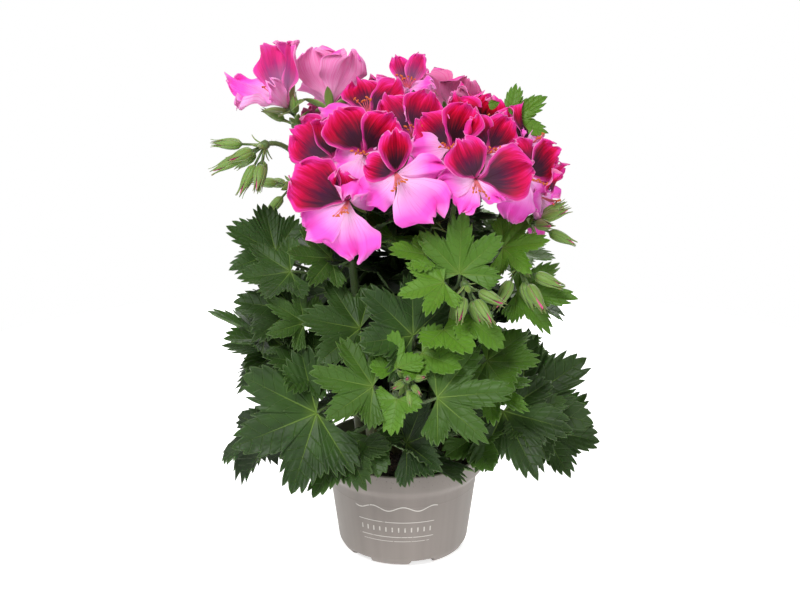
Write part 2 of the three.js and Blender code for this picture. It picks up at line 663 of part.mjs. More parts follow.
// A flower stalk that opens into the green star of five pointed sepals under the bloom
function stalkedCalyx(hub, bloom, grow) {
  const end = along(bloom.base, bloom.axis, -CALYX_LENGTH);
  const start = along(hub, unit(sub(end, hub)), HUB_RADIUS * 0.4);
  const middle = along(end, bloom.axis, -0.45 * size(sub(end, start)));
  const radius = PEDICEL_RADIUS + grow;
  const path = [0, 0.5, 1].map((u) => bend(start, middle, end, u));
  const vertices = ringsAlong(path.reverse(), [radius, radius, radius], 5, bloom.up)
    .reverse()
    .flatMap(([first, ...others]) => [first, ...others.reverse()]);
  const faces = ringFaces(3, 5);
  const last = 10;
  const star = 15;
  for (let k = 0; k < 10; k++) {
    const turn = (2 * Math.PI * k) / 10;
    const out = add(scale(bloom.up, Math.cos(turn)), scale(bloom.side, Math.sin(turn)));
    const [reach, rise] = k % 2 ? [CALYX_RADIUS, -SEPAL_NOTCH_DROP] : [SEPAL_REACH, SEPAL_RISE];
    vertices.push(along(along(bloom.base, out, reach + grow), bloom.axis, rise + grow));
    const ring = last + (Math.floor((k + 1) / 2) % 5);
    const [a, b] = [star + k, star + ((k + 1) % 10)];
    faces.push([ring, b, a], [a, b, star + 10]);
    if (k % 2) faces.push([last + (k - 1) / 2, ring, a]);
  }
  vertices.push(along(bloom.base, bloom.axis, -1 + grow));
  return solidFrom(vertices, faces);
}

// The buds of a bunch hang or stand round its hub on their own short stalks
function budsOf(row, seed) {
  const [, x, y, z, heading, rise, count, length] = row;
  const random = makeRandom(seed);
  const hub = [x, y, z];
  const lean = frameOf(heading, rise, 0);
  const buds = [];
  for (let k = 0; k < count; k++) {
    const turn = radians(k * GOLDEN_ANGLE + random(-15, 15));
    const tilt = radians(12 + (38 * (k + 1)) / count);
    const around = add(scale(lean.face, Math.cos(turn)), scale(lean.side, Math.sin(turn)));
    const axis = add(scale(lean.tip, Math.cos(tilt)), scale(around, Math.sin(tilt)));
    const stalk = length * random(0.4, 0.7);
    const root = along(hub, axis, stalk);
    buds.push({ start: along(hub, axis, HUB_RADIUS * 0.4), root, tip: along(root, axis, length * random(0.85, 1.1)) });
  }
  return buds;
}

function budSolid({ start, root, tip }, length, grow) {
  const radius = length / BUD_SLIMNESS;
  const radii = [PEDICEL_RADIUS * 0.8 + grow, PEDICEL_RADIUS * 0.8 + grow, radius + grow, 0];
  return tube([start, root, mix(root, tip, BUD_BROADEST), tip], radii, 4);
}

// The knob that stalks spring from
function hubSolid(hub, grow) {
  const knob = new THREE.OctahedronGeometry(HUB_RADIUS + 1.8 * grow);
  knob.translate(...hub);
  return solidOf(knob);
}

function potSolid() {
  const profile = [
    [0, 0],
    [FOOT_RADIUS - FOOT_ROUND, 0],
    [FOOT_RADIUS - FOOT_ROUND * 0.29, FOOT_ROUND * 0.29],
    [FOOT_RADIUS + 0.6, FOOT_ROUND],
    [COLLAR_RADIUS, COLLAR_HEIGHT],
    [RIM_RADIUS - LIP + 0.6, COLLAR_HEIGHT + COLLAR_FLARE],
    [RIM_RADIUS, RIM_HEIGHT],
    [RIM_RADIUS - LIP, RIM_HEIGHT],
    [COLLAR_RADIUS - WALL, COLLAR_HEIGHT + 0.6],
    [FOOT_RADIUS - WALL - 0.6, FLOOR_THICKNESS],
    [0, FLOOR_THICKNESS],
  ];
  let pot = lathe(profile, POT_SEGMENTS);
  for (let k = 0; k < DRAIN_COUNT; k++) {
    const angle = DRAIN_FIRST_ANGLE + (360 * k) / DRAIN_COUNT;
    const recess = new THREE.BoxGeometry(DRAIN_DEPTH * 2, DRAIN_WIDTH, DRAIN_HEIGHT * 2);
    recess.translate(FOOT_RADIUS, 0, 0);
    const hole = new THREE.CylinderGeometry(DRAIN_HOLE_RADIUS, DRAIN_HOLE_RADIUS, 4 * FLOOR_THICKNESS, 6);
    hole.rotateX(Math.PI / 2);
    hole.translate(FOOT_RADIUS - DRAIN_DEPTH + DRAIN_HOLE_RADIUS + 1, 0, 0);
    for (const tool of [recess, hole]) {
      tool.rotateZ(radians(angle));
      pot = pot.subtract(solidOf(tool));
    }
  }
  return pot;
}

// A solid of revolution about Z from a closed outline whose first and last points are on the axis
function lathe(profile, segments) {
  const points = [];
  const faces = [];
  const rings = profile.map(([r, z]) => {
    if (r === 0) return Array(segments).fill(points.push([0, 0, z]) - 1);
    const first = points.length;
    for (let k = 0; k < segments; k++) {
      const turn = (2 * Math.PI * k) / segments;
      points.push([r * Math.cos(turn), r * Math.sin(turn), z]);
    }
    return Array.from({ length: segments }, (_, k) => first + k);
  });
  for (let i = 0; i + 1 < rings.length; i++) {
    for (let k = 0; k < segments; k++) {
      const n = (k + 1) % segments;
      const [a, b, c, d] = [rings[i][k], rings[i][n], rings[i + 1][n], rings[i + 1][k]];
      if (a !== b) faces.push([a, b, c]);
      if (c !== d) faces.push([a, c, d]);
    }
  }
  return solidFrom(points, faces);
}

// A three.js geometry as a solid
function solidOf(geometry) {
  const position = geometry.getAttribute("position");
  const found = new Map();
  const points = [];
  const merged = Array.from({ length: position.count }, (_, i) => {
    const p = [position.getX(i), position.getY(i), position.getZ(i)];
    const key = p.map((x) => x.toFixed(4)).join();
    if (!found.has(key)) found.set(key, points.push(p) - 1);
    return found.get(key);
  });
  const order = geometry.index ? Array.from(geometry.index.array) : merged.map((_, i) => i);
  const faces = [];
  for (let i = 0; i < order.length; i += 3) {
    const face = [0, 1, 2].map((k) => merged[order[i + k]]);
    if (new Set(face).size === 3) faces.push(face);
  }
  return solidFrom(points, faces);
}

// The mix fills the pot to a gap, with a lumpy top and a plain hole for each stem
function soilSolid() {
  const random = makeRandom(3);
  const inner = COLLAR_RADIUS - WALL - GAP - 0.2;
  const slope = (RIM_RADIUS - LIP - COLLAR_RADIUS + WALL) / (RIM_HEIGHT - COLLAR_HEIGHT);
  const top = inner + (SOIL_HEIGHT - COLLAR_HEIGHT) * slope;
  let soil = lathe(
    [
      [0, FLOOR_THICKNESS + GAP],
      [FOOT_RADIUS - WALL - 1.2, FLOOR_THICKNESS + GAP],
      [inner, COLLAR_HEIGHT],
      [top, SOIL_HEIGHT],
      [top * 0.6, SOIL_HEIGHT + SOIL_SWELL],
      [0, SOIL_HEIGHT + SOIL_SWELL],
    ],
    POT_SEGMENTS,
  );
  soil = soil.warp((p) => {
    if (p[2] > SOIL_HEIGHT + 0.1) p[2] += random(-1.4, 0.8);
  });
  for (const { foot } of Object.values(STEMS)) {
    const low = [foot[0], foot[1], SOIL_HEIGHT - STEM_DEPTH - GAP];
    const high = [foot[0], foot[1], SOIL_HEIGHT + 20];
    soil = soil.subtract(tube([low, high], [STEM_FOOT_RADIUS + 1, STEM_FOOT_RADIUS + 1], 6));
  }
  return soil;
}

function stemSolid(name, grow) {
  const path = stemPath(name);
  const { foot } = STEMS[name];
  const points = [[foot[0], foot[1], SOIL_HEIGHT - STEM_DEPTH]];
  const radii = [STEM_FOOT_RADIUS];
  for (const u of [0, 0.33, 0.66, 1]) {
    points.push(path(u));
    radii.push(STEM_FOOT_RADIUS + (STEM_TOP_RADIUS - STEM_FOOT_RADIUS) * u);
  }
  points[1][2] += SOIL_SWELL + 1;
  return tube(points, radii.map((r) => r + grow), 5);
}

// A peduncle from near the stem's crown to a hub
function peduncle(name, hub, grow) {
  const { crown } = STEMS[name];
  const root = stemPath(name)(0.97);
  const middle = [(crown[0] + hub[0]) / 2, (crown[1] + hub[1]) / 2, Math.max(crown[2], hub[2]) + 4];
  const points = [0, 0.5, 1].map((u) => bend(root, middle, hub, u));
  return tube(points, points.map(() => PEDUNCLE_RADIUS + grow), 4);
}

const overlaps = (a, b) => {
  const [p, q] = [a.boundingBox(), b.boundingBox()];
  return [0, 1, 2].every((i) => p.min[i] < q.max[i] && q.min[i] < p.max[i]) && a.intersect(b).volume() > 1e-6;
};

// What is left of a solid once its neighbours' grown shapes are cut from it, without loose scraps
function cutClear(solid, grownNeighbours) {
  let left = solid;
  for (const other of grownNeighbours) {
    if (overlaps(left, other)) left = left.subtract(other);
  }
  const bodies = left.decompose();
  return bodies.reduce((a, b) => (b.volume() > a.volume() ? b : a));
}

const shown = FRONT_LEAVES.map((row, i) => makeLeaf(row, 100 + i));
const leaves = [...shown, ...fillLeaves(shown)];
leaves.forEach((leaf) => chooseBow(leaf, leaves));
const blooms = Object.entries(BLOOMS).map(([name, row], i) => ({ name, ...makeBloom(row, 900 + i) }));

// The middle of a stem's flower head, between its crown and its blooms
function bloomHub(name, own) {
  const mean = scale(own.reduce((sum, bloom) => add(sum, bloom.base), [0, 0, 0]), 1 / own.length);
  return along(mix(STEMS[name].crown, mean, 0.5), [0, 0, 1], -2);
}

// A stem with its flower stalks, calyces and buds, as loose parts
function skeletonParts(name, grow) {
  const parts = [stemSolid(name, grow)];
  const own = blooms.filter((bloom) => bloom.stem === name);
  if (own.length) {
    const hub = bloomHub(name, own);
    parts.push(peduncle(name, hub, grow), hubSolid(hub, grow));
    own.forEach((bloom) => parts.push(stalkedCalyx(hub, bloom, grow)));
  }
  Object.values(BUNCHES).forEach((row, i) => {
    if (row[0] !== name) return;
    const hub = row.slice(1, 4);
    parts.push(peduncle(name, hub, grow), hubSolid(hub, grow));
    budsOf(row, 300 + i).forEach((bud) => parts.push(budSolid(bud, row[7], grow)));
  });
  return parts;
}

const taken = [];
const nodes = [];
function addNode(name, solid, grownParts, material) {
  const clear = cutClear(cutClear(solid, taken), nodes.map((node) => node.solid));
  nodes.push({ name, solid: clear, material });
  taken.push(...grownParts);
}
addNode("pot", potSolid(), [], "taupe");
addNode("potting_mix", soilSolid(), [], "mix");
for (const name of Object.keys(STEMS)) {
  const partsOf = (grow) => [
    ...skeletonParts(name, grow),
    ...leaves.filter((leaf) => leaf.stem === name).map((leaf) => leafSolid(leaf, grow)),
  ];
  addNode(`leafy_stem_${name}`, wasm.Manifold.union(partsOf(0)), partsOf(GAP), "green");
}
for (const bloom of blooms) {
  addNode(`petals_${bloom.name}`, bloomSolid(bloom, 0), [bloomSolid(bloom, GAP)], "pink");
}

const finish = (color, roughness) => new THREE.MeshStandardMaterial({ color, roughness, metalness: 0 });
const MATERIALS = {
  taupe: finish(0x8f877f, 0.5),
  mix: finish(0x1d1613, 0.95),
  green: finish(0x3f6e2c, 0.55),
  pink: finish(0xd92a86, 0.5),
};

function meshOf(name, solid, material) {
  const { numProp, vertProperties, triVerts } = solid.getMesh();
  const position = [];
  for (const i of triVerts) position.push(...vertProperties.subarray(i * numProp, i * numProp + 3));
  const geometry = new THREE.BufferGeometry();
  geometry.setAttribute("position", new THREE.Float32BufferAttribute(position, 3));
  geometry.computeVertexNormals();
  const mesh = new THREE.Mesh(geometry, material);
  mesh.name = name;
  return mesh;
}

const plant = new THREE.Group();
nodes.forEach(({ name, solid, material }) => plant.add(meshOf(name, solid, MATERIALS[material])));

export default plant;
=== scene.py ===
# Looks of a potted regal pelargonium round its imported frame. Lengths are millimetres until a mesh is made.
# The front of the plant looks along -Y. Headings are degrees from +X towards +Y,
# rises are degrees above level.
import math

import bpy
import numpy as np
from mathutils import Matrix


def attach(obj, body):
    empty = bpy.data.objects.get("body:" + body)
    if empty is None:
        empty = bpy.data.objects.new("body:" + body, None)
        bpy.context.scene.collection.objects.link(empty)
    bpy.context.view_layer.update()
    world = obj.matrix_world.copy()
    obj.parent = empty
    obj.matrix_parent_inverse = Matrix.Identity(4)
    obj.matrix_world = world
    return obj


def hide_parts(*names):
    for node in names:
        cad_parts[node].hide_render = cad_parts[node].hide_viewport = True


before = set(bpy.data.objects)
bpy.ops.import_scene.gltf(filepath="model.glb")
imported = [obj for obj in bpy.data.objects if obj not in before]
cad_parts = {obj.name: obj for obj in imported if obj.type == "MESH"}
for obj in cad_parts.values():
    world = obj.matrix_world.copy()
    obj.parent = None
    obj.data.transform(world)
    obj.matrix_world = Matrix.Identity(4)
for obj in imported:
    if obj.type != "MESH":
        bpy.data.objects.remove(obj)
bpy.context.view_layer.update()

MM = 0.001

# Pot and potting mix
RIM_RADIUS = 60
RIM_HEIGHT = 77
COLLAR_HEIGHT = 58
COLLAR_RADIUS = 53.2
COLLAR_FLARE = 5.5
FOOT_RADIUS = 46
FOOT_ROUND = 7
WALL = 1.3
LIP = 2.4
FLOOR_THICKNESS = 4.2
DRAIN_COUNT = 6
DRAIN_WIDTH = 18
DRAIN_HEIGHT = 5
DRAIN_DEPTH = 14
DRAIN_FIRST_ANGLE = -72
POT_SEGMENTS = 288
MOULD_LINE = 0.15
# Plain lines printed in front: height and half thickness in mm, reach to each side in radians
PRINT_TURN = 1.68
PRINT_LINES = ((49, 0.5, 0.6), (38, 0.3, 0.56), (26, 0.3, 0.56), (22.5, 0.22, 0.5))
DASH_LEVEL = 32
SOIL_HEIGHT = 68
SOIL_SWELL = 2.5
CRUMBS = 700

# Plant
LEAF_THICKNESS = 0.45
PETAL_THICKNESS = 0.3
SEPAL_THICKNESS = 0.5
BUD_SKIN_THICKNESS = 0.35
STEM_DEPTH = 16
STEM_FOOT_RADIUS = 4.4
STEM_TOP_RADIUS = 2.3
PETIOLE_RADIUS = 1.15
PEDUNCLE_RADIUS = 1.7
PEDICEL_RADIUS = 0.95
HUB_RADIUS = 3.4
CALYX_DEPTH = 12
CALYX_LENGTH = 7
CALYX_RADIUS = 2.4
SEPAL_LENGTH = 13
BUD_SLIMNESS = 7
GOLDEN_ANGLE = 137.508
# Soft hairs on each kind of stalk: how many, and their length
HAIRS = {
    "stem": (160, 1.6),
    "petiole": (46, 1.7),
    "peduncle": (90, 1.8),
    "pedicel": (90, 1.7),
    "bud": (60, 1.5),
}
HAIR_HALF_WIDTH = 0.065
BRACT_SLIMNESS = 0.38
SEPAL_SLIMNESS = 0.36
SEPAL_CUP = 0.25

# Where the draws of each kind of thing start
SHOWN_LEAF_SEED = 100
FILL_LEAF_SEED = 500
INNER_LEAF_SEED = 700
INNER_PLACE_SEED = 77
BLOOM_SEED = 900
BRACT_SEED = 40
BUNCH_SEED = 300
BUD_SEED = 1000
SOIL_SEED = 5

# Leafy stems: foot x, y in the mix and the crown x, y, z that each leads up to
STEMS = {
    "front": ((3, -24), (2, -60, 150)),
    "front_left": ((-20, -16), (-38, -40, 262)),
    "left_tall": ((-28, 4), (-66, -6, 286)),
    "centre": ((-5, 0), (-8, -14, 288)),
    "front_right": ((17, -15), (30, -48, 248)),
    "right": ((30, 2), (70, -16, 262)),
    "right_low": ((36, -16), (58, -30, 132)),
    "back_left": ((-18, 24), (-40, 34, 276)),
    "back": ((4, 32), (14, 54, 270)),
    "back_right": ((24, 22), (58, 22, 280)),
}

# Blooms: stem, throat x, y, z, heading and rise of the face, turn round its axis, petal length, openness,
# and the shares of that length that its two upper and three lower petals reach
BLOOMS = {
    "left_low": ("front_left", -38, -80, 276, -104, -4, 22, 42, 1, 1, 1),
    "left_outer": ("front_left", -52, -48, 298, -134, 10, 22, 37, 1, 1, 0.95),
    "left_upper": ("front_left", -26, -72, 309, -96, 20, 0, 38, 1, 1, 0.92),
    "middle_low": ("centre", -4, -96, 298, -84, -4, 34, 39, 1, 0.76, 1.06),
    "middle_upper": ("centre", 6, -52, 320, -88, 48, 10, 34, 0.8, 1, 1),
    "middle_top": ("centre", -24, -30, 330, -115, 58, 0, 36, 0.85, 0.9, 1),
    "right_upper": ("front_right", 29, -70, 313, -98, 24, 8, 38, 1, 1, 0.9),
    "right_low": ("front_right", 47, -93, 293, -82, -6, -22, 39, 1, 1, 0.76),
    "right_mid": ("front_right", 56, -62, 308, -72, 26, -8, 36, 0.9, 0.9, 1),
    "side_mid": ("right", 84, -54, 287, -52, 4, -22, 37, 1, 0.95, 0.9),
    "side_upper": ("right", 86, -26, 306, -22, 34, 0, 34, 0.9, 1, 1),
    "side_low": ("right", 100, -26, 266, -18, -6, -12, 30, 0.9, 1, 1),
    "top_left": ("left_tall", -83, -10, 332, 218, 50, 0, 47, 0.34, 1, 1),
    "top_back": ("left_tall", -49, 6, 331, 88, 42, 0, 43, 0.5, 1, 0.85),
    "top_middle": ("centre", 2, 6, 341, -104, 58, 0, 27, 0.4, 1, 1),
    "crown_right": ("back_right", 52, -26, 318, -76, 60, 0, 34, 0.9, 1, 1),
    "back_left_low": ("back_left", -66, 34, 292, 152, 8, 0, 37, 1, 1, 0.9),
    "back_left_mid": ("back_left", -34, 66, 298, 112, 14, 12, 38, 1, 0.95, 1),
    "back_left_top": ("back_left", -16, 36, 318, 112, 54, 0, 35, 0.85, 1, 1),
    "back_low": ("back", 14, 82, 286, 84, 0, -10, 38, 1, 1, 0.9),
    "back_upper": ("back", 34, 58, 312, 72, 34, 0, 36, 0.9, 1, 1),
    "back_right_low": ("back_right", 74, 50, 286, 38, 6, 0, 37, 1, 0.95, 1),
    "back_right_top": ("back_right", 62, 20, 315, 34, 50, 0, 34, 0.85, 1, 1),
}

# How single petals differ, in the order of the petals: turn, slope at the tip,
# share of the width, share of the length
PETAL_CHANGES = {
    "left_low": (
        (4, 0, 0.95, 1.1), (4, 0, 0.95, 1), (-14, 4, 1, 1.04), (0, -10, 0.8, 0.6), (8, 10, 0.72, 0.66),
    ),
    "middle_low": (
        (4, -8, 0.85, 0.8), (0, -20, 1, 0.8), (4, 4, 1.06, 1.04), (-6, 0, 0.8, 0.9), (0, -6, 0.66, 1.16),
    ),
    "right_low": (
        (12, -4, 0.84, 0.94), (16, 0, 0.9, 1.04), (-4, 14, 0.85, 0.86), (0, 8, 0.8, 0.84), (-14, -6, 1, 1.06),
    ),
    "left_upper": (
        (6, -6, 0.9, 0.94), (0, -10, 0.9, 0.74), (-12, 34, 0.82, 1.08), (0, 0, 0.9, 0.8), (-4, -6, 0.9, 0.9),
    ),
    "right_upper": (
        (2, 0, 0.85, 0.84), (-10, 24, 1, 0.92), (0, 0, 0.9, 0.8), (0, 0, 0.9, 0.8), (-2, 0, 0.85, 0.88),
    ),
    "right_mid": ((0, 0, 0.9, 0.9), (0, 10, 1, 0.9), (0, 20, 1, 0.9), (0, 0, 1, 0.8), (0, 0, 0.9, 0.94)),
    "left_outer": ((6, 0, 1, 1.04), (0, 0, 1, 0.9), (0, 0, 0.9, 0.9), (0, 10, 0.9, 0.8), (0, 8, 0.9, 0.9)),
    "side_mid": ((8, 0, 0.9, 0.9), (10, 14, 1, 1), (0, 10, 0.9, 1), (0, 0, 0.9, 0.9), (-8, -8, 1, 1)),
    "top_left": ((0, 0, 1.25, 1), (0, 0, 1, 1.04), (0, 35, 1, 0.95), (0, 30, 0.95, 0.8), (0, 0, 0.8, 1.04)),
    "top_back": ((-4, 0, 1.35, 1), (0, 10, 1, 0.9), (0, 0, 1, 1), (0, 10, 1, 0.9), (4, 0, 1.25, 0.97)),
}
# Blooms just opening, whose blotches are still pale: how deep their colour is
PALER_BLOOMS = {"top_left": 0.72, "top_back": 0.45, "top_middle": 0.85}

# Bud bunches: stem, hub x, y, z, heading the bunch leans to, rise of its buds, count, bud length
BUNCHES = {
    "left": ("left_tall", -92, -22, 302, 190, -42, 7, 23),
    "left_upright": ("left_tall", -72, -8, 312, 120, 62, 2, 17),
    "right": ("front_right", 40, -76, 222, -60, -52, 5, 24),
    "right_outer": ("right", 76, -52, 226, -70, -50, 4, 25),
    "right_side": ("right", 84, -36, 252, -24, 4, 4, 22),
    "low": ("front", 3, -88, 160, -88, 6, 5, 13),
    "top": ("centre", 6, 8, 318, 60, 48, 4, 15),
    "back": ("back", 26, 82, 240, 80, -40, 4, 22),
    "back_left": ("back_left", -78, 52, 256, 140, -30, 4, 21),
}

# Leaves that show in front: stem, blade foot x, y, z, heading and rise of the tip, roll of the face,
# length, form
FRONT_LEAVES = [
    ("front_left", -58, -74, 131, 196, -18, 62, 60, "broad"),
    ("front_left", -39, -70, 108, -126, -38, 14, 44, "broad"),
    ("front", -22, -70, 112, -78, -34, -8, 30, "small"),
    ("front", -20, -94, 158, 186, 14, 58, 44, "cut"),
    ("front", 22, -94, 150, -6, 8, -56, 50, "cut"),
    ("centre", 6, -74, 186, 188, 48, 62, 46, "broad"),
    ("front_left", -29, -60, 186, 186, 12, 48, 42, "broad"),
    ("left_tall", -75, -38, 192, 182, 8, 44, 40, "broad"),
    ("left_tall", -66, -54, 188, 192, 36, 64, 32, "cut"),
    ("left_tall", -94, -42, 172, 180, 28, 8, 42, "cut"),
    ("left_tall", -84, -24, 160, 184, 2, 34, 40, "broad"),
    ("front_left", -62, -52, 158, 202, 14, 46, 36, "broad"),
    ("left_tall", -87, -18, 226, 178, 28, 54, 38, "broad"),
    ("left_tall", -76, -36, 218, 190, -8, 34, 36, "broad"),
    ("front_left", -48, -44, 230, 204, 8, 50, 34, "cut"),
    ("front_right", 36, -78, 230, 82, 74, 0, 42, "cut"),
    ("front_right", 26, -84, 226, 200, -6, 44, 31, "cut"),
    ("front_right", 14, -68, 240, 186, 12, 30, 25, "small"),
    ("right", 76, -48, 208, -4, -8, -46, 40, "cut"),
    ("right", 66, -46, 238, -22, 14, -50, 33, "cut"),
    ("right_low", 82, -26, 118, 4, 36, -64, 56, "broad"),
    ("right_low", 98, -18, 96, -4, -12, -58, 42, "broad"),
    ("right_low", 84, -52, 122, -18, -24, -44, 33, "broad"),
    ("right_low", 68, -54, 124, -54, -44, -26, 52, "broad"),
    ("right", 56, -58, 162, -22, 4, -34, 38, "broad"),
    ("right_low", 56, -66, 146, -34, -18, -30, 34, "cut"),
    ("front", 2, -72, 108, -22, 28, -58, 40, "broad"),
    ("front", 10, -60, 94, -46, -8, 26, 43, "broad"),
    ("front", 46, -64, 108, -62, -28, -22, 32, "small"),
    ("centre", 12, -80, 176, -28, -12, -46, 31, "small"),
    ("front", -4, -92, 170, 112, 54, 8, 26, "small"),
    ("front", -4, -96, 150, -108, -46, 0, 25, "small"),
    ("front_right", 26, -84, 194, -50, -18, -20, 29, "small"),
    ("front_right", 44, -80, 198, -22, -30, -30, 27, "small"),
    ("back_right", 70, -8, 314, 12, 30, -58, 31, "cut"),
]

# The rest of the leaves are placed by rule, all round and in two depths
FILL_TRIES = 900
FILL_MOST = 20
FILL_SEED = 20
HEIGHT_SHARE = 0.754878
FILL_LOW = 92
FILL_HIGH = 244
FILL_SPACING = 0.34
SHOWN_SPACING = 0.42
BUSH_RADIUS = 124
BUSH_TOP_RADIUS = 96
INNER_SHARE = 0.66
INNER_CHANCE = 0.3
FILL_LENGTH = (50, -17)
FILL_RISE = (-34, 40)
FILL_SWING = 64
FILL_ROLL_SHARE = -0.55

# Small leaves that stay inside the bush, round the stems, coloured dark as painted shade
INNER_COUNT = 96
INNER_LOW = 96
INNER_HIGH = 276
INNER_RADIUS = 68
INNER_LENGTH = 36

# Tests for room: a blade is taken as a round plate, set forward and up from its foot as shares of its length
PLATE_CENTRE = 0.25
PLATE_RADIUS = 0.8
PLATE_RISE = 0.06
PLATE_CLEARANCE = 3.5
RIB_ANGLES = (-98, -49, 0, 49, 98)
RIB_ENDS = ((0.08, 0), (0.92, 0.06))
STEM_SAMPLES = (0, 0.25, 0.5, 0.75, 1)
STEM_CLEARANCE = 6

# Bows that a petiole tries on its way to the blade
BOWS = (
    (0, 0, 0), (0, 0, 8), (9, 0, 2), (-9, 0, 2), (0, 9, 2), (0, -9, 2), (0, 0, -9), (14, 9, 0), (-14, 9, 0),
)
PETIOLE_CLEARANCE = 3.4
BOW_SAMPLES = (0.12, 0.25, 0.4, 0.55, 0.7, 0.85, 0.93)

# Palmate outlines: lobe headings and reaches, the depth of the cuts between lobes, and the teeth
# on each half lobe
FORMS = {
    "broad": {"lobes": (-98, -49, 0, 49, 98), "reach": (0.78, 0.93, 1, 0.93, 0.78), "cut": 0.22},
    "cut": {"lobes": (-92, -46, 0, 46, 92), "reach": (0.66, 0.9, 1, 0.9, 0.66), "cut": 0.4},
    "small": {"lobes": (-78, 0, 78), "reach": (0.72, 1, 0.72), "cut": 0.36},
    "plain": {"lobes": (-98, -49, 0, 49, 98), "reach": (0.82, 0.96, 1, 0.96, 0.82), "cut": 0.2},
}
BASAL_REACH = 0.52
LOBE_CURVE = 1.7
TOOTH_TIPS = (0.3, 0.58, 0.83)
TOOTH_DEPTH = 0.12
LEAF_ROWS = (0.05, 0.13, 0.24, 0.36, 0.48, 0.6, 0.71, 0.81, 0.89, 0.95, 1)
BLADE_CUP = 0.16
BLADE_FOLD = 0.13
BLADE_DROOP = 0.16
LOBE_LIFT = 0.09
TOOTH_PLEAT = 0.018
TOOTH_CURL = 0.035
MARGIN_WAVE = 0.045
SINUS = (0.74, 0.98)
BLADE_RIPPLE = 0.012
# The leaves to the left of this are old and dark
OLD_SIDE = -40

# Five petals: angle round the face from straight up, share of the petal length, half width, slope at the tip
PETALS = (
    {"angle": 32, "length": 1, "width": 0.48, "tip": 4, "upper": 1},
    {"angle": 104, "length": 0.95, "width": 0.4, "tip": -14, "upper": 0},
    {"angle": 180, "length": 1, "width": 0.45, "tip": -20, "upper": 0},
    {"angle": 256, "length": 0.95, "width": 0.4, "tip": -14, "upper": 0},
    {"angle": 328, "length": 1, "width": 0.48, "tip": 4, "upper": 1},
)
# Rows and columns of a petal's mesh, and of a petal whose bloom is further back than BACK_SIDE
PETAL_GRID = (24, 33)
BACK_PETAL_GRID = (16, 23)
BACK_SIDE = 30
THROAT_SLOPE = 64
CLOSED_SLOPE = 74
THROAT_END = 0.25
THROAT_FILL = 0.8
FLARE_FILL = 3
CLOSED_WIDTH = 0.3
BROADEST = 0.7
END_NARROWING = 0.84
END_ROUNDING = 0.04
CORNER_ROUNDING = 0.02
RUFFLE = 0.12
RUFFLE_TURNS = 5.2
PETAL_TWIST = 0.075
FRILL = 0.09
SIDE_FRILL = 0.095
MARGIN_CURL = 0.07
EDGE_CURL = 0.015
# Scallops of a petal's end: depth as a share of its length, and how many
SCALLOPS = ((0.018, 5), (0.022, 11), (0.008, 23))
STAMENS = 7

# Camera and light
CAMERA_PLACE = (-0.0023, -1.1, 0.5584)
CAMERA_PITCH = 71.28
LENS = 74.7
ROOM_LIGHT = 0.28
BACKDROP = 1.0
FLOOR_RADIUS = 0.6
# Lamps: place, what they point at, size and power
LIGHTS = {
    "key": ((-0.55, -1.2, 1.5), (0, 0, 0.22), 0.7, 26),
    "fill": ((1.1, -1.2, 0.7), (0, 0, 0.2), 1.0, 7),
    "left": ((-1.5, 0.2, 0.8), (0, 0, 0.2), 1.0, 6),
    "back": ((0.3, 1.2, 1.1), (0, 0, 0.25), 1.1, 16),
}


def unit(a):
    return a / np.linalg.norm(a)


def mix(a, b, share):
    return a + (b - a) * share


def bend(a, b, c, u):
    return mix(mix(a, b, u), mix(b, c, u), u)


def clamp(x, low, high):
    return min(high, max(low, x))


def rad(degrees):
    return math.radians(degrees)


def toward(first, second, turn):
    """The first direction turned towards the second."""
    return first * math.cos(turn) + second * math.sin(turn)


def circle(count):
    """Turns that are spaced evenly round a circle."""
    return 2 * math.pi * np.arange(count) / count


def path_points(path, count):
    return [path(u) for u in np.linspace(0, 1, count)]


def tone(red, green, blue):
    """A colour as light, from its 0 to 255 values on a screen."""
    return tuple(((c / 255 + 0.055) / 1.055) ** 2.4 if c > 10 else c / 3294.6 for c in (red, green, blue))


def make_random(seed):
    """The same draws on every run."""
    state = seed * 7919 + 12345

    def draw(low=0.0, high=1.0):
        nonlocal state
        state = (state * 1664525 + 1013904223) % 4294967296
        return low + (high - low) * state / 4294967296

    return draw


def frame_of(heading, rise, roll):
    """Three axes from a heading, a rise and a roll: tip, face and side."""
    h = rad(heading)
    r = rad(rise)
    tip = np.array((math.cos(r) * math.cos(h), math.cos(r) * math.sin(h), math.sin(r)))
    up = unit(np.array((0, 0, 1)) - tip * tip[2])
    face = toward(up, np.cross(up, tip), rad(roll))
    return tip, face, np.cross(face, tip)


class Shape:
    """Points, faces and what the materials read at each point, gathered for one object."""

    def __init__(self):
        self.points = []
        self.faces = []
        self.slots = []
        self.place = []
        self.own = []
        self.count = 0

    def add(self, points, faces, slot, place, own):
        points = np.asarray(points, float)
        faces = np.asarray(faces, int)
        size = len(points)
        self.points.append(points)
        self.faces.extend((faces + self.count).tolist())
        self.slots.extend([slot] * len(faces) if isinstance(slot, int) else list(slot))
        self.place.append(np.broadcast_to(np.asarray(place, float), (size, 3)))
        self.own.append(np.broadcast_to(np.asarray(own, float), (size, 3)))
        self.count += size

    def make(self, name, materials, sharp=None):
        mesh = bpy.data.meshes.new(name)
        mesh.from_pydata((np.concatenate(self.points) * MM).tolist(), [], self.faces)
        for material in materials:
            mesh.materials.append(material)
        mesh.polygons.foreach_set("material_index", self.slots)
        for label, values in (("place", self.place), ("own", self.own)):
            attribute = mesh.attributes.new(label, "FLOAT_VECTOR", "POINT")
            attribute.data.foreach_set("vector", np.concatenate(values).astype(np.float32).ravel())
        mesh.shade_smooth()
        if sharp:
            mesh.set_sharp_from_angle(angle=rad(sharp))
        mesh.update()
        piece = bpy.data.objects.new(name, mesh)
        bpy.context.scene.collection.objects.link(piece)
        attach(piece, "root")
        return piece


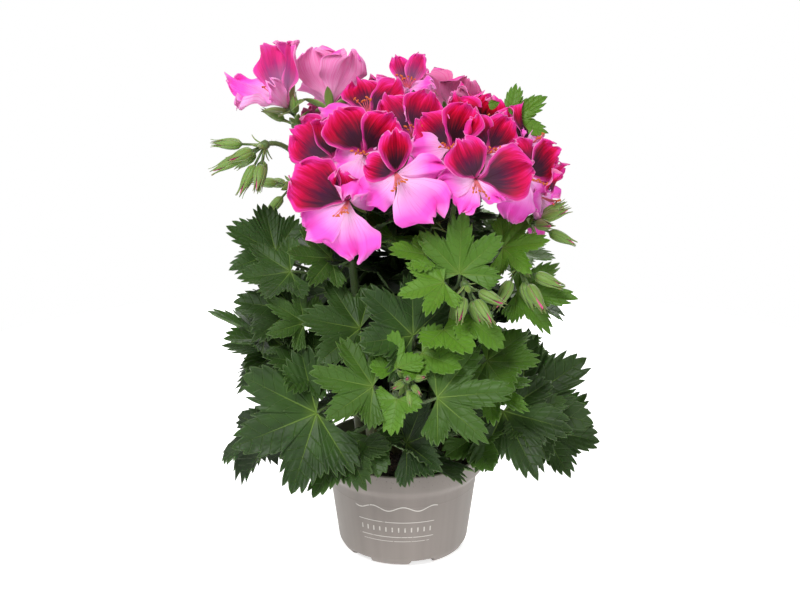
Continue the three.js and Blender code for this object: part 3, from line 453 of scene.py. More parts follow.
def grid_faces(rows, columns):
    """Triangles of a grid of points, row after row."""
    i = np.arange(rows - 1)[:, None] * columns + np.arange(columns - 1)[None, :]
    a, b, c, d = (x.ravel() for x in (i, i + 1, i + columns + 1, i + columns))
    return np.concatenate((np.stack((a, b, c), 1), np.stack((a, c, d), 1)))


def grid_shares(rows, columns, first=0.0):
    """Shares along a surface from its foot to its end, and from -1 to 1 across it."""
    return np.linspace(first, 1, rows)[:, None], np.linspace(-1, 1, columns)[None, :]


def grid_rows(x, y, z):
    """Three values over a grid, as a row of three for each of its points."""
    return np.stack(np.broadcast_arrays(x, y, z), 2).reshape(-1, 3)


def ring_faces(rings, sides):
    """Triangles between rings of points, and fans to the two end points that follow the last ring."""
    k = np.arange(sides)
    n = (k + 1) % sides
    first = rings * sides
    faces = [np.stack((k * 0 + first, n, k), 1)]
    faces.append(np.stack((k * 0 + first + 1, first - sides + k, first - sides + n), 1))
    for start in range(0, first - sides, sides):
        a, b = start + k, start + n
        faces += [np.stack((a, b, b + sides), 1), np.stack((a, b + sides, a + sides), 1)]
    return np.concatenate(faces)


def ring(radius, height, turns):
    return np.stack((radius * np.cos(turns), radius * np.sin(turns), np.full(len(turns), float(height))), 1)


def normals_of(points, faces):
    normals = np.zeros_like(points)
    a, b, c = (points[faces[:, k]] for k in range(3))
    across = np.cross(b - a, c - a)
    for k in range(3):
        np.add.at(normals, faces[:, k], across)
    return normals / np.maximum(np.linalg.norm(normals, axis=1), 1e-12)[:, None]


def blade(shape, points, faces, thickness, slots, place, own):
    """A thin closed sheet of even thickness on a surface: its face, its back and its rim."""
    normals = normals_of(points, faces)
    count = len(points)
    edges = np.concatenate((faces[:, (0, 1)], faces[:, (1, 2)], faces[:, (2, 0)]))
    lone = edges[~np.isin(edges[:, 0] * count + edges[:, 1], edges[:, 1] * count + edges[:, 0])]
    i, j = lone[:, 0], lone[:, 1]
    rim = np.concatenate((np.stack((i, i + count, j + count), 1), np.stack((i, j + count, j), 1)))
    half = normals * thickness / 2
    front, back = slots
    shape.add(
        np.concatenate((points + half, points - half)),
        np.concatenate((faces, faces[:, ::-1] + count, rim)),
        [front] * len(faces) + [back] * len(faces) + [front] * len(rim),
        np.concatenate((place, place)),
        np.concatenate((own, own)) if np.ndim(own) == 2 else own,
    )


def rings_along(points, first_across):
    """Two directions across a path at each point, turned as little as possible from one to the next."""
    across = np.asarray(first_across, float)
    frames = []
    for i in range(len(points)):
        direction = unit(points[min(i + 1, len(points) - 1)] - points[max(i - 1, 0)])
        across = unit(across - direction * np.dot(across, direction))
        frames.append((across, np.cross(direction, across)))
    return frames


def tube(shape, points, radii, sides, slot, own=(0, 0, 0), flutes=0.0):
    """A closed round tube through points, with a radius at each. Flutes are shallow grooves along it."""
    points = [np.asarray(p, float) for p in points]
    start = unit(points[1] - points[0])
    frames = rings_along(points, (1, 0, 0) if abs(start[2]) > 0.9 else (0, 0, 1))
    turns = circle(sides)
    swell = 1 + flutes * np.cos(5 * turns)
    x, y = (swell * np.cos(turns))[:, None], (swell * np.sin(turns))[:, None]
    rows = []
    for point, radius, (across, other) in zip(points, radii, frames):
        rows.append(point + radius * (x * across + y * other))
    vertices = np.concatenate(rows + [points[0][None], points[-1][None]])
    share = np.repeat(np.linspace(0, 1, len(rows)), sides)
    place = np.stack((np.tile(turns / (2 * math.pi), len(rows)), share, np.zeros(len(share))), 1)
    place = np.concatenate((place, ((0, 0, 0), (0, 1, 0))))
    shape.add(vertices, ring_faces(len(rows), sides), slot, place, own)


def hairs(shape, points, radii, kind, seed):
    """Short soft hairs that stand out from a tube, each a slim closed spike."""
    count, length = HAIRS[kind]
    rng = np.random.default_rng(seed)
    points = np.asarray(points, float)
    radii = np.asarray(radii, float)
    at = rng.uniform(0, len(points) - 1.001, count)
    i = at.astype(int)
    share = (at - i)[:, None]
    base = points[i] * (1 - share) + points[i + 1] * share
    radius = radii[i][:, None] * (1 - share) + radii[i + 1][:, None] * share
    along = points[i + 1] - points[i]
    along /= np.linalg.norm(along, axis=1)[:, None]
    side = np.cross(along, rng.normal(size=(count, 3)))
    side /= np.linalg.norm(side, axis=1)[:, None]
    other = np.cross(along, side)
    foot = base + side * (radius - 0.1)
    lean = rng.uniform(-0.5, 0.5, count)[:, None]
    tip = foot + (side + along * lean) * (length * rng.uniform(0.5, 1.1, count))[:, None]
    corners = [foot + HAIR_HALF_WIDTH * (along * math.cos(t) + other * math.sin(t)) for t in circle(3)]
    vertices = np.stack((*corners, tip), 1).reshape(-1, 3)
    k = np.arange(count)[:, None, None] * 4
    faces = (k + np.array(((0, 1, 3), (1, 2, 3), (2, 0, 3), (0, 2, 1)))).reshape(-1, 3)
    shape.add(vertices, faces, HAIR, (0, 0, 0), (0, 0, 0))


def lance(shape, foot, tip, face, length, width, curl):
    """A pointed narrow leaflet, such as a sepal or a bract, that curls back along its length."""
    rows, columns = 9, 5
    v, w = grid_shares(rows, columns)
    half = 0.5 * width * (np.sin(math.pi * np.clip(v * 0.86 + 0.14, 0, 1)) ** 0.8 + 0.02 * (1 - v))
    forward = length * np.sin(curl * v) / curl
    back = length * (1 - np.cos(curl * v)) / curl
    rise = SEPAL_CUP * half * (w * w) - back
    side = np.cross(face, tip)
    points = foot + forward[..., None] * tip + rise[..., None] * face + (half * w)[..., None] * side
    faces = grid_faces(rows, columns)[:, ::-1]
    place = grid_rows(w, v, 0.0)
    blade(shape, points.reshape(-1, 3), faces, SEPAL_THICKNESS, (SEPAL, SEPAL), place, (0, 0, 0))


# Where every leaf, stem and flower goes
def make_leaf(row, seed):
    stem, x, y, z, heading, rise, roll, length, form = row
    random = make_random(seed)
    tip, face, side = frame_of(heading, rise, roll)
    return {
        "stem": stem,
        "foot": np.array((x, y, z), float),
        "tip": tip,
        "face": face,
        "side": side,
        "length": length,
        "form": form,
        "cup": random(0.5, 1.4),
        "droop": random(0.3, 1.3),
        "lifts": [random(-LOBE_LIFT, LOBE_LIFT) for _ in FORMS[form]["lobes"]],
        "spacing": FILL_SPACING if form == "plain" else SHOWN_SPACING,
        "bow": np.zeros(3),
        "seed": seed,
    }


def stem_path(name):
    foot, crown = STEMS[name]
    start = np.array((*foot, SOIL_HEIGHT), float)
    crown = np.array(crown, float)
    knee = (start + crown) / 2
    knee[:2] = start[:2] * 1.25 + crown[:2] * 0.1
    return lambda u: bend(start, knee, crown, u)


def petiole_start(leaf, name):
    """Where a petiole leaves its stem: low enough to climb to the blade."""
    path = stem_path(name)
    top = STEMS[name][1][2]
    share = lambda z: clamp((z - SOIL_HEIGHT) / (top - SOIL_HEIGHT), 0.05, 0.97)
    level = path(share(leaf["foot"][2]))
    away = math.hypot(leaf["foot"][0] - level[0], leaf["foot"][1] - level[1])
    return path(share(leaf["foot"][2] - 0.6 * away))


def petiole_path(leaf, bow):
    start = petiole_start(leaf, leaf["stem"])
    foot = leaf["foot"]
    span = np.linalg.norm(foot - start)
    middle = foot - leaf["tip"] * 0.3 * span - leaf["face"] * 0.3 * span + bow
    end = foot - leaf["face"] * LEAF_THICKNESS / 2
    return lambda u: bend(start, middle, end, u)


def crosses_plate(leaf, points):
    """Whether a row of points runs through a leaf's blade, taken as a round plate, or too near it."""
    offset = np.array(points) - leaf["foot"]
    local = np.stack((offset @ leaf["tip"], offset @ leaf["side"], offset @ leaf["face"]), 1)
    local[:, 2] -= PLATE_RISE * leaf["length"]
    inside = lambda p: math.hypot(p[0] - PLATE_CENTRE * leaf["length"], p[1]) < PLATE_RADIUS * leaf["length"]
    for i, p in enumerate(local):
        if abs(p[2]) < PLATE_CLEARANCE and inside(p):
            return True
        if i and p[2] * local[i - 1][2] < 0:
            before = local[i - 1]
            if inside(mix(before, p, before[2] / (before[2] - p[2]))):
                return True
    return False


def rib_ends(leaf):
    """The two ends of each main rib of a leaf."""
    rows = []
    for angle in RIB_ANGLES:
        flat = toward(leaf["tip"], leaf["side"], rad(angle))
        rib = [leaf["foot"] + (flat * out + leaf["face"] * up) * leaf["length"] for out, up in RIB_ENDS]
        rows.append(rib)
    return rows


def blades_cross(a, b):
    return any(crosses_plate(leaf, rib) for leaf, other in ((b, a), (a, b)) for rib in rib_ends(other))


def nearest_stem(leaf, height):
    """The stem that reaches above a height and is nearest to a leaf where the petiole would start."""
    tall = [name for name in STEMS if STEMS[name][1][2] > height]
    return min(tall, key=lambda name: np.linalg.norm(leaf["foot"] - petiole_start(leaf, name)))


def fill_leaves(placed):
    random = make_random(FILL_SEED)
    stems = {name: [stem_path(name)(u) for u in STEM_SAMPLES] for name in STEMS}
    centre = lambda leaf: leaf["foot"] + leaf["tip"] * 0.3 * leaf["length"]
    made = []
    for k in range(FILL_TRIES):
        if len(made) == FILL_MOST:
            break
        up = (k * HEIGHT_SHARE) % 1
        heading = (k * GOLDEN_ANGLE) % 360
        z = FILL_LOW + (FILL_HIGH - FILL_LOW) * up
        length = FILL_LENGTH[0] + FILL_LENGTH[1] * up + random(-3, 3)
        rise = FILL_RISE[0] + FILL_RISE[1] * up + random(-12, 12)
        swing = random(-FILL_SWING, FILL_SWING)
        roll = random(-15, 15) + FILL_ROLL_SHARE * swing
        inner = INNER_SHARE if random() < INNER_CHANCE else 1
        reach = (BUSH_RADIUS + (BUSH_TOP_RADIUS - BUSH_RADIUS) * up * up) * inner
        away = reach - length * math.cos(rad(rise)) * math.cos(rad(0.8 * swing))
        x, y = away * math.cos(rad(heading)), away * math.sin(rad(heading))
        row = ("front", x, y, z, heading + swing, rise, roll, length, "plain")
        leaf = make_leaf(row, FILL_LEAF_SEED + k)
        crowded = any(
            np.linalg.norm(centre(leaf) - centre(other)) <= other["spacing"] * (length + other["length"])
            or blades_cross(leaf, other)
            for other in placed + made
        )
        if crowded or any(crosses_plate(leaf, points) for points in stems.values()):
            continue
        leaf["stem"] = nearest_stem(leaf, z)
        made.append(leaf)
    return made


def stretch_gaps(a, b, c, d):
    """How near straight stretches a to b come to stretches c to d, all against all."""
    u, v = (b - a)[:, None], (d - c)[None]
    w = a[:, None] - c[None]
    uu, uv, vv, uw, vw = ((p * q).sum(-1) for p, q in ((u, u), (u, v), (v, v), (u, w), (v, w)))
    s = np.clip((uv * vw - vv * uw) / np.maximum(uu * vv - uv * uv, 1e-9), 0, 1)
    t = np.clip((uv * s + vw) / vv, 0, 1)
    r = np.clip((uv * t - uw) / uu, 0, 1)
    return np.linalg.norm(a[:, None] + u * r[..., None] - c[None] - v * t[..., None], axis=-1)


def choose_bow(leaf, leaves, earlier):
    """The bow that takes a petiole past the most blades, stems and petioles."""
    fewest = math.inf
    chosen = leaf["bow"]
    for bow in BOWS:
        path = petiole_path(leaf, np.array(bow, float))
        points = np.array([path(u) for u in BOW_SAMPLES])
        met = sum(1 for other in leaves if other is not leaf and crosses_plate(other, points))
        for name in STEMS:
            if name == leaf["stem"]:
                continue
            top = STEMS[name][1][2]
            for point in points:
                u = (point[2] - SOIL_HEIGHT) / (top - SOIL_HEIGHT)
                at = stem_path(name)(clamp(u, 0, 1))
                if u < 1 and math.hypot(point[0] - at[0], point[1] - at[1]) < STEM_CLEARANCE:
                    met += 3
                    break
        for other, theirs in earlier:
            if stretch_gaps(points[:-1], points[1:], theirs[:-1], theirs[1:]).min() < PETIOLE_CLEARANCE:
                met += 0.5 if other["stem"] == leaf["stem"] else 2
        if met < fewest:
            fewest = met
            chosen = np.array(bow, float)
    leaf["bow"] = chosen
    path = petiole_path(leaf, chosen)
    earlier.append((leaf, np.array([path(u) for u in BOW_SAMPLES])))


def inner_leaves():
    random = make_random(INNER_PLACE_SEED)
    made = []
    for k in range(INNER_COUNT):
        up = (k + 0.5) / INNER_COUNT
        z = INNER_LOW + (INNER_HIGH - INNER_LOW) * up
        heading = k * GOLDEN_ANGLE
        away = INNER_RADIUS * math.sqrt(random(0.04, 1)) * (1 - 0.15 * up)
        length = INNER_LENGTH * random(0.8, 1.15)
        x, y = away * math.cos(rad(heading)), away * math.sin(rad(heading))
        tip_heading = heading + random(-80, 80)
        row = ("front", x, y, z, tip_heading, random(-20, 45), random(-40, 40), length, "plain")
        leaf = make_leaf(row, INNER_LEAF_SEED + k)
        leaf["foot"] -= leaf["tip"] * 0.35 * length
        leaf["stem"] = nearest_stem(leaf, z - 10)
        # Marks a leaf inside the bush, whose dark colour is painted shade
        leaf["shade"] = 1
        made.append(leaf)
    return made


def make_bloom(name, seed):
    stem, x, y, z, heading, rise, turn, length, openness, upper, lower = BLOOMS[name]
    axis, face, _ = frame_of(heading, rise, 0)
    up = toward(face, np.cross(axis, face), rad(turn))
    random = make_random(seed)
    return {
        "stem": stem,
        "axis": axis,
        "up": up,
        "side": np.cross(axis, up),
        "base": np.array((x, y, z)) - axis * CALYX_DEPTH,
        "length": length,
        "openness": openness,
        "shares": (lower, upper),
        "phases": [random(0, 2 * math.pi) for _ in PETALS],
        "depth": PALER_BLOOMS.get(name, 1),
        "seed": seed,
    }


shown = [make_leaf(row, SHOWN_LEAF_SEED + i) for i, row in enumerate(FRONT_LEAVES)]
leaves = shown + fill_leaves(shown)
settled = []
for leaf in leaves:
    choose_bow(leaf, leaves, settled)
leaves += inner_leaves()
blooms = {name: make_bloom(name, BLOOM_SEED + i) for i, name in enumerate(BLOOMS)}


def bloom_hub(name, own):
    """The middle of a stem's flower head, between its crown and its blooms."""
    mean = sum(bloom["base"] for bloom in own) / len(own)
    return mix(np.array(STEMS[name][1], float), mean, 0.5) - np.array((0, 0, 2))


# Materials
class Value:
    """What a node gives out. Arithmetic on it adds Math nodes."""

    def __init__(self, paint, socket):
        self.paint = paint
        self.socket = socket

    def __add__(self, other):
        return self.paint.math("ADD", self, other)

    def __sub__(self, other):
        return self.paint.math("SUBTRACT", self, other)

    def __rsub__(self, other):
        return self.paint.math("SUBTRACT", other, self)

    def __mul__(self, other):
        return self.paint.math("MULTIPLY", self, other)

    def __abs__(self):
        return self.paint.math("ABSOLUTE", self)


class Paint:
    """A procedural material. Its steps return values that the next steps take."""

    def __init__(self, name, roughness, **shader_values):
        self.material = bpy.data.materials.new(name)
        self.material.use_nodes = True
        self.nodes = self.material.node_tree.nodes
        self.links = self.material.node_tree.links
        self.shader = self.nodes["Principled BSDF"]
        self.shader.inputs["Roughness"].default_value = roughness
        for label, value in shader_values.items():
            self.shader.inputs[label.replace("_", " ")].default_value = value

    def plug(self, socket, value):
        if isinstance(value, Value):
            self.links.new(value.socket, socket)
        elif isinstance(value, tuple):
            socket.default_value = (*value, 1)
        elif value is not None:
            socket.default_value = value

    def step(self, kind, *values, out=0, **settings):
        """Adds a node of a kind, sets it, plugs values into its first inputs and gives an output."""
        node = self.nodes.new("ShaderNode" + kind)
        for label, setting in settings.items():
            setattr(node, label, setting)
        for socket, value in zip(node.inputs, values):
            self.plug(socket, value)
        return Value(self, node.outputs[out])

    def math(self, operation, a, b=None):
        return self.step("Math", a, b, operation=operation)

    def read(self, label):
        """The three values that a mesh holds at each point under this label."""
        held = self.step("Attribute", out="Vector", attribute_name=label)
        split = self.step("SeparateXYZ", held)
        return [Value(self, socket) for socket in split.socket.node.outputs]

    def span(self, value, low, high, to_low=0.0, to_high=1.0):
        """Maps a value from one range to another, smoothly, and holds it there."""
        return self.step("MapRange", value, low, high, to_low, to_high, interpolation_type="SMOOTHSTEP")

    def blend(self, factor, a, b):
        mixed = self.step("Mix", factor, out=2, data_type="RGBA")
        for socket, colour in zip(mixed.socket.node.inputs[6:8], (a, b)):
            self.plug(socket, colour)
        return mixed

    def vector(self, x, y, z):
        return self.step("CombineXYZ", x, y, z)

    def texture(self, kind, out, at, **inputs):
        """A texture's value at a place, or without one at the point on the object in metres."""
        value = self.step(kind, at or self.step("TexCoord", out="Object"), out=out)
        for label, number in inputs.items():
            value.socket.node.inputs[label].default_value = number
        return value

    def noise(self, scale, detail=2.0, at=None, roughness=0.5):
        return self.texture("TexNoise", "Fac", at, Scale=scale, Detail=detail, Roughness=roughness)

    def cells(self, scale):
        return self.texture("TexVoronoi", "Distance", None, Scale=scale)

    def ramp(self, factor, *stops):
        value = self.step("ValToRGB", factor)
        elements = value.socket.node.color_ramp.elements
        while len(elements) < len(stops):
            elements.new(0.5)
        for element, (place, colour) in zip(elements, stops):
            element.position = place
            element.color = (*colour, 1)
        return value

    def stripe(self, value, count, width):
        """Thin soft lines where value times count is whole, 1 on the line and 0 between."""
        part = self.math("FRACT", value * count)
        return self.span(self.math("MINIMUM", part, 1.0 - part), 0.0, width, 1.0, 0.0)

    def bump(self, height, strength, distance):
        node = self.nodes.new("ShaderNodeBump")
        node.inputs["Strength"].default_value = strength
        node.inputs["Distance"].default_value = distance
        self.plug(node.inputs["Height"], height)
        self.links.new(node.outputs[0], self.shader.inputs["Normal"])

    def colour(self, value):
        self.plug(self.shader.inputs["Base Color"], value)


def leaf_paint(name, back):
    """Leaf skin. place: distance across from the main vein, distance from the foot, distance from the margin,
    as shares of the leaf's length. own: brightness, kept low on the leaves inside the bush as painted shade,
    and youth."""
    paint = Paint(
        name,
        0.62 if back else 0.5,
        Subsurface_Weight=0.08,
        Subsurface_Scale=0.0012,
        Subsurface_Radius=(0.4, 1.0, 0.2),
        Specular_IOR_Level=0.32,
        Sheen_Weight=0.06,
    )
    across, out, edge = paint.read("place")
    bright, young, _ = paint.read("own")
    if back:
        low, high, fresh = tone(66, 88, 48), tone(98, 122, 70), tone(118, 148, 78)
        patch, vein = tone(84, 116, 60), tone(142, 160, 104)
    else:
        low, high, fresh = tone(11, 22, 9), tone(46, 75, 27), tone(94, 140, 32)
        patch, vein = tone(68, 108, 30), tone(112, 142, 58)
    off = abs(across)
    chevron = paint.noise(60, 2) * 0.05 + (out - off * 0.85)
    side_veins = paint.stripe(chevron, 7.5, 0.09) * paint.span(out, 0.12, 0.3) * paint.span(edge, 0.0, 0.07)
    main_vein = paint.span(off - (0.01 - out * 0.008), -0.006, 0.006, 1.0, 0.0)
    mottle = paint.noise(110, 3)
    # Low brightness gives the near-black tone of the leaves inside the bush, which is painted shade
    body = paint.blend(mottle * 0.5 + (bright - 0.25), low, high)
    body = paint.blend(young, body, fresh)
    body = paint.blend(paint.span(paint.noise(24, 2), 0.46, 0.68) * 0.3, body, patch)
    body = paint.blend(side_veins * 0.09, body, vein)
    body = paint.blend(main_vein * paint.span(out, 0.12, 0.8, 0.75, 0.16), body, vein)
    body = paint.blend(paint.span(out, 0.02, 0.2, 1.0, 0.0) * 0.3, body, tone(120, 150, 56))
    paint.colour(paint.blend(paint.span(edge, 0.002, 0.018, 0.22, 0.0), body, tone(110, 140, 70)))
    veins = paint.math("MAXIMUM", side_veins, main_vein) * (1.0 if back else -1.0)
    paint.bump(mottle * 0.5 + (paint.cells(420) * 0.25 + veins), 0.55, 0.0007)
    return paint.material


def stalk_paint():
    """Stems and stalks. place: turn round the stalk, share of its length. own: woodiness."""
    paint = Paint("green_stalk", 0.5, Subsurface_Weight=0.1, Subsurface_Scale=0.001, Sheen_Weight=0.2)
    turn, share, _ = paint.read("place")
    wood, _, _ = paint.read("own")
    streaks = paint.noise(1, 3, paint.vector(turn * 18.0, share * 4.0, 0.0))
    green = paint.blend(streaks, tone(56, 80, 34), tone(98, 124, 58))
    brown = paint.blend(streaks, tone(52, 42, 26), tone(86, 76, 44))
    paint.colour(paint.blend(wood * paint.span(share, 0.0, 0.42, 1.0, 0.0), green, brown))
    paint.bump(streaks + paint.noise(900, 2), 0.3, 0.0005)
    return paint.material


def hair_paint():
    paint = Paint("soft_hair", 0.6, Sheen_Weight=0.3)
    paint.colour(paint.blend(paint.noise(300, 1), tone(150, 164, 116), tone(196, 204, 170)))
    return paint.material


def sepal_paint():
    """Sepals, bracts and bud skins. place: -1 to 1 across, 0 to 1 along."""
    paint = Paint("sepal_green", 0.52, Subsurface_Weight=0.15, Subsurface_Scale=0.0015, Sheen_Weight=0.2)
    across, along, _ = paint.read("place")
    fibres = paint.noise(1, 2, paint.vector(across * 7.0, along * 2.0, 0.0))
    body = paint.blend(fibres, tone(84, 120, 42), tone(138, 170, 76))
    body = paint.blend(paint.span(along, 0.75, 1.0, 0.0, 0.5), body, tone(84, 92, 40))
    paint.colour(paint.blend(paint.span(abs(across), 0.8, 1.0, 0.0, 0.5), body, tone(160, 176, 118)))
    paint.bump(fibres, 0.4, 0.0005)
    return paint.material


def petal_paint(name, back):
    """Petal skin. place: share of the length, -1 to 1 across, distance from the margin in mm.
    own: 1 on an upper petal, seed, how much of the blotch the petal has."""
    paint = Paint(
        name,
        0.8,
        Subsurface_Weight=0.06,
        Subsurface_Scale=0.0012,
        Subsurface_Radius=(1.0, 0.25, 0.5),
        Specular_IOR_Level=0.06,
    )
    along, across, edge = paint.read("place")
    upper, seed, blotch = paint.read("own")
    streaks = paint.noise(1, 3, paint.vector(across * 9.0, along * 1.6, seed), 0.65)
    fine = paint.noise(1, 2, paint.vector(across * 30.0, along * 1.8, seed), 0.6)
    broad = paint.noise(1, 1, paint.vector(across, along * 2.0, seed))
    wobble = (streaks - 0.5) * 0.5 + (fine - 0.5) * 0.22
    reach = across * across * 0.2 + (along + wobble)
    if back:
        flush = paint.blend(paint.span(fine, 0.35, 0.75), tone(252, 180, 230), tone(246, 132, 204))
        rosy = paint.blend(upper * blotch * 0.55, flush, tone(196, 26, 96))
        body = paint.blend(paint.span(along, 0.1, 0.5, 0.65, 0.0), rosy, tone(246, 190, 222))
    else:
        dark = paint.ramp(
            reach,
            (0.0, tone(92, 8, 44)),
            (0.16, tone(24, 0, 4)),
            (0.46, tone(36, 0, 5)),
            (0.62, tone(114, 0, 14)),
            (0.78, tone(190, 2, 40)),
            (0.9, tone(216, 20, 92)),
            (1.0, tone(232, 52, 152)),
        )
        margin = paint.span(streaks * -5.0 + (edge + 2.5), 0.2, 3.6, 1.0, 0.0)
        dark = paint.blend(margin * 0.9, dark, tone(232, 54, 160))
        veins = paint.span(fine, 0.5, 0.72) * paint.span(reach, 0.94, 0.6)
        dark = paint.blend(veins * 0.82, dark, tone(26, 0, 4))
        pale = paint.ramp(
            (broad - 0.5) * 0.35 + along,
            (0.0, tone(240, 216, 236)),
            (0.24, tone(246, 190, 234)),
            (0.46, tone(250, 160, 232)),
            (0.7, tone(250, 100, 214)),
            (0.88, tone(250, 94, 210)),
            (1.0, tone(252, 140, 222)),
        )
        pale = paint.blend(paint.span(fine, 0.52, 0.7) * 0.34, pale, tone(226, 52, 170))
        guides = paint.span(fine, 0.56, 0.68) * paint.span(along, 0.5, 0.2)
        pale = paint.blend(guides * 0.5, pale, tone(170, 16, 84))
        body = paint.blend(upper * blotch, pale, dark)
    paint.colour(paint.blend(paint.span(edge, 0.1, 0.7, 0.5, 0.0), body, tone(250, 160, 216)))
    paint.bump(streaks + fine * 0.6, 0.35, 0.0006)
    return paint.material


def plain_paint(name, low, high, roughness, scale, depth):
    paint = Paint(name, roughness)
    grain = paint.noise(scale, 4)
    paint.colour(paint.blend(grain, low, high))
    paint.bump(grain, 0.5, depth)
    return paint.material


def pot_paint():
    """Matt moulded plastic, with soft vertical bands of lighter and darker colour round it and a print of
    plain lines.
    place: turn round the pot, height in mm, how much soil clings."""
    paint = Paint("pot_plastic", 0.5, Specular_IOR_Level=0.35)
    turn, height, soiled = paint.read("place")
    # Soft vertical bands of lighter and darker colour round the pot
    bands = paint.noise(1, 2, paint.vector(turn * 6.0, height * 0.004, 3.0))
    cloud = bands * 0.8 + paint.noise(14, 3) * 0.2
    body = paint.blend(cloud, tone(122, 114, 109), tone(140, 132, 127))
    front = abs(turn + PRINT_TURN)
    row = paint.span(abs(height - DASH_LEVEL), 1.7, 2.0, 1.0, 0.0) * paint.span(front, 0.5, 0.52, 1.0, 0.0)
    print_mask = paint.stripe(turn, 11.0, 0.16) * row
    for line, (level, wide, reach) in enumerate(PRINT_LINES):
        middle = paint.math("SINE", turn * 15.0) * (0.0 if line else 1.7) + level
        mark = paint.span(abs(height - middle), wide * 0.5, wide, 1.0, 0.0)
        mark = mark * paint.span(front, reach - 0.02, reach, 1.0, 0.0)
        print_mask = paint.math("MAXIMUM", print_mask, mark)
    worn = paint.span(paint.noise(420, 3), 0.3, 0.42)
    body = paint.blend(print_mask * worn * 0.72, body, tone(226, 222, 216))
    dirt = soiled * paint.span(paint.noise(620, 4, roughness=0.7), 0.6, 0.7)
    paint.colour(paint.blend(dirt * 0.8, body, tone(62, 48, 38)))
    paint.bump(paint.noise(1500, 2), 0.12, 0.0003)
    return paint.material


LEAF_FACE, LEAF_BACK, STALK, HAIR, SEPAL, BUD_PETAL = range(6)
FOLIAGE = [
    leaf_paint("leaf_face", False),
    leaf_paint("leaf_back", True),
    stalk_paint(),
    hair_paint(),
    sepal_paint(),
    plain_paint("bud_petal", tone(222, 60, 130), tone(244, 120, 170), 0.5, 300, 0.0004),
]
PETAL_FACE, PETAL_BACK, FILAMENT, ANTHER = range(4)
FLOWER = [
    petal_paint("petal_face", False),
    petal_paint("petal_back", True),
    plain_paint("filament", tone(226, 96, 120), tone(244, 158, 150), 0.45, 500, 0.0003),
    plain_paint("anther", tone(186, 72, 30), tone(230, 122, 54), 0.7, 900, 0.0004),
]


# Leaves
def leaf_outline(form, rng):
    """A leaf's margin as corners round its foot: angle, reach, -1 to 1 across its lobe, and 0 at a tooth's tip
    to 1 in the notch beside it."""
    shape = FORMS[form]
    lobes, reaches = shape["lobes"], shape["reach"]
    half = (lobes[1] - lobes[0]) / 2
    sinus = rng.uniform(*SINUS, len(lobes) + 1)
    cuts = [sinus[i] * (1 - shape["cut"]) * (reaches[i] + reaches[i - 1]) / 2 for i in range(1, len(lobes))]
    valleys = [BASAL_REACH, *cuts, BASAL_REACH]
    tips = [-t for t in reversed(TOOTH_TIPS)] + [0] + list(TOOTH_TIPS)
    corners = [(lobes[0] - half, BASAL_REACH, -1, 1)]
    for i, centre in enumerate(lobes):
        for k, offset in enumerate(tips):
            valley = valleys[i] if offset < 0 else valleys[i + 1]
            envelope = lambda o: reaches[i] - (reaches[i] - valley) * abs(o) ** LOBE_CURVE
            if k:
                notch = (offset + tips[k - 1]) / 2
                notch += 0.05 if notch > 0 else -0.05
                depth = TOOTH_DEPTH * rng.uniform(0.5, 1.4)
                corners.append((centre + notch * half, envelope(notch) * (1 - depth), notch, 1))
            wander = rng.uniform(-0.03, 0.03)
            reach = envelope(offset) * rng.uniform(0.98, 1.04)
            corners.append((centre + (offset + wander) * half, reach, offset, 0))
        corners.append((centre + half, valleys[i + 1], 1, 1))
    return np.array(corners)


def finer(corners, parts):
    """The outline with each side split, bulging a little so that the teeth have rounded flanks."""
    rows = [corners[0]]
    for a, b in zip(corners, corners[1:]):
        for k in range(1, parts + 1):
            u = k / parts
            point = mix(a, b, u)
            point[1] *= 1 + 0.06 * u * (1 - u)
            rows.append(point)
    return np.array(rows)


def blade_height(leaf, f, r, angle, offset, notch, rng):
    """How far the points of a blade stand up from flat, in shares of its length. f is the share of the way
    from the foot to the margin, and r the same way in shares of the length."""
    a = np.radians(angle)
    crease = np.sqrt(offset * offset + 0.012) - 0.11
    lift = np.interp(angle, FORMS[leaf["form"]]["lobes"], leaf["lifts"])
    height = BLADE_FOLD * crease * r + BLADE_CUP * leaf["cup"] * r * r + lift * r * r
    height -= BLADE_DROOP * leaf["droop"] * r * r * np.maximum(0, np.cos(a))
    height += TOOTH_PLEAT * notch * np.clip((f - 0.5) / 0.5, 0, 1)
    height -= rng.uniform(-0.6, 1.4) * TOOTH_CURL * (1 - notch) * np.clip((f - 0.8) / 0.2, 0, 1) ** 1.5
    turns, phase = rng.uniform(2.5, 4.5), rng.uniform(0, 6.3)
    height += MARGIN_WAVE * np.sin(turns * a + phase) * f**3
    height += BLADE_RIPPLE * np.sin(7 * a + 9 * f + phase) * f * f
    height += rng.uniform(-0.05, 0.05) * np.sin(a * 1.5 + phase) * f * f
    return height


def leaf_age(leaf, rng):
    """How bright and how young a leaf is, each from 0 to 1. High, short and cut leaves are younger, and high
    leaves are brighter. Leaves inside the bush are kept dark as painted shade.
    """
    z = leaf["foot"][2] - 90
    young = clamp((46 - leaf["length"]) / 22, 0, 1) * clamp(z / 80, 0, 1)
    young = clamp(young + (0.35 if leaf["form"] == "cut" else 0) + rng.uniform(-0.15, 0.15), 0, 0.85)
    bright = clamp(0.3 + 0.35 * clamp(z / 150, 0, 1) + rng.uniform(-0.25, 0.3), 0, 1)
    # Leaves inside the bush are kept dark: this darkness is painted shade
    if "shade" in leaf:
        return 0.15, 0
    return bright, young * 0.25 if leaf["foot"][0] < OLD_SIDE else young


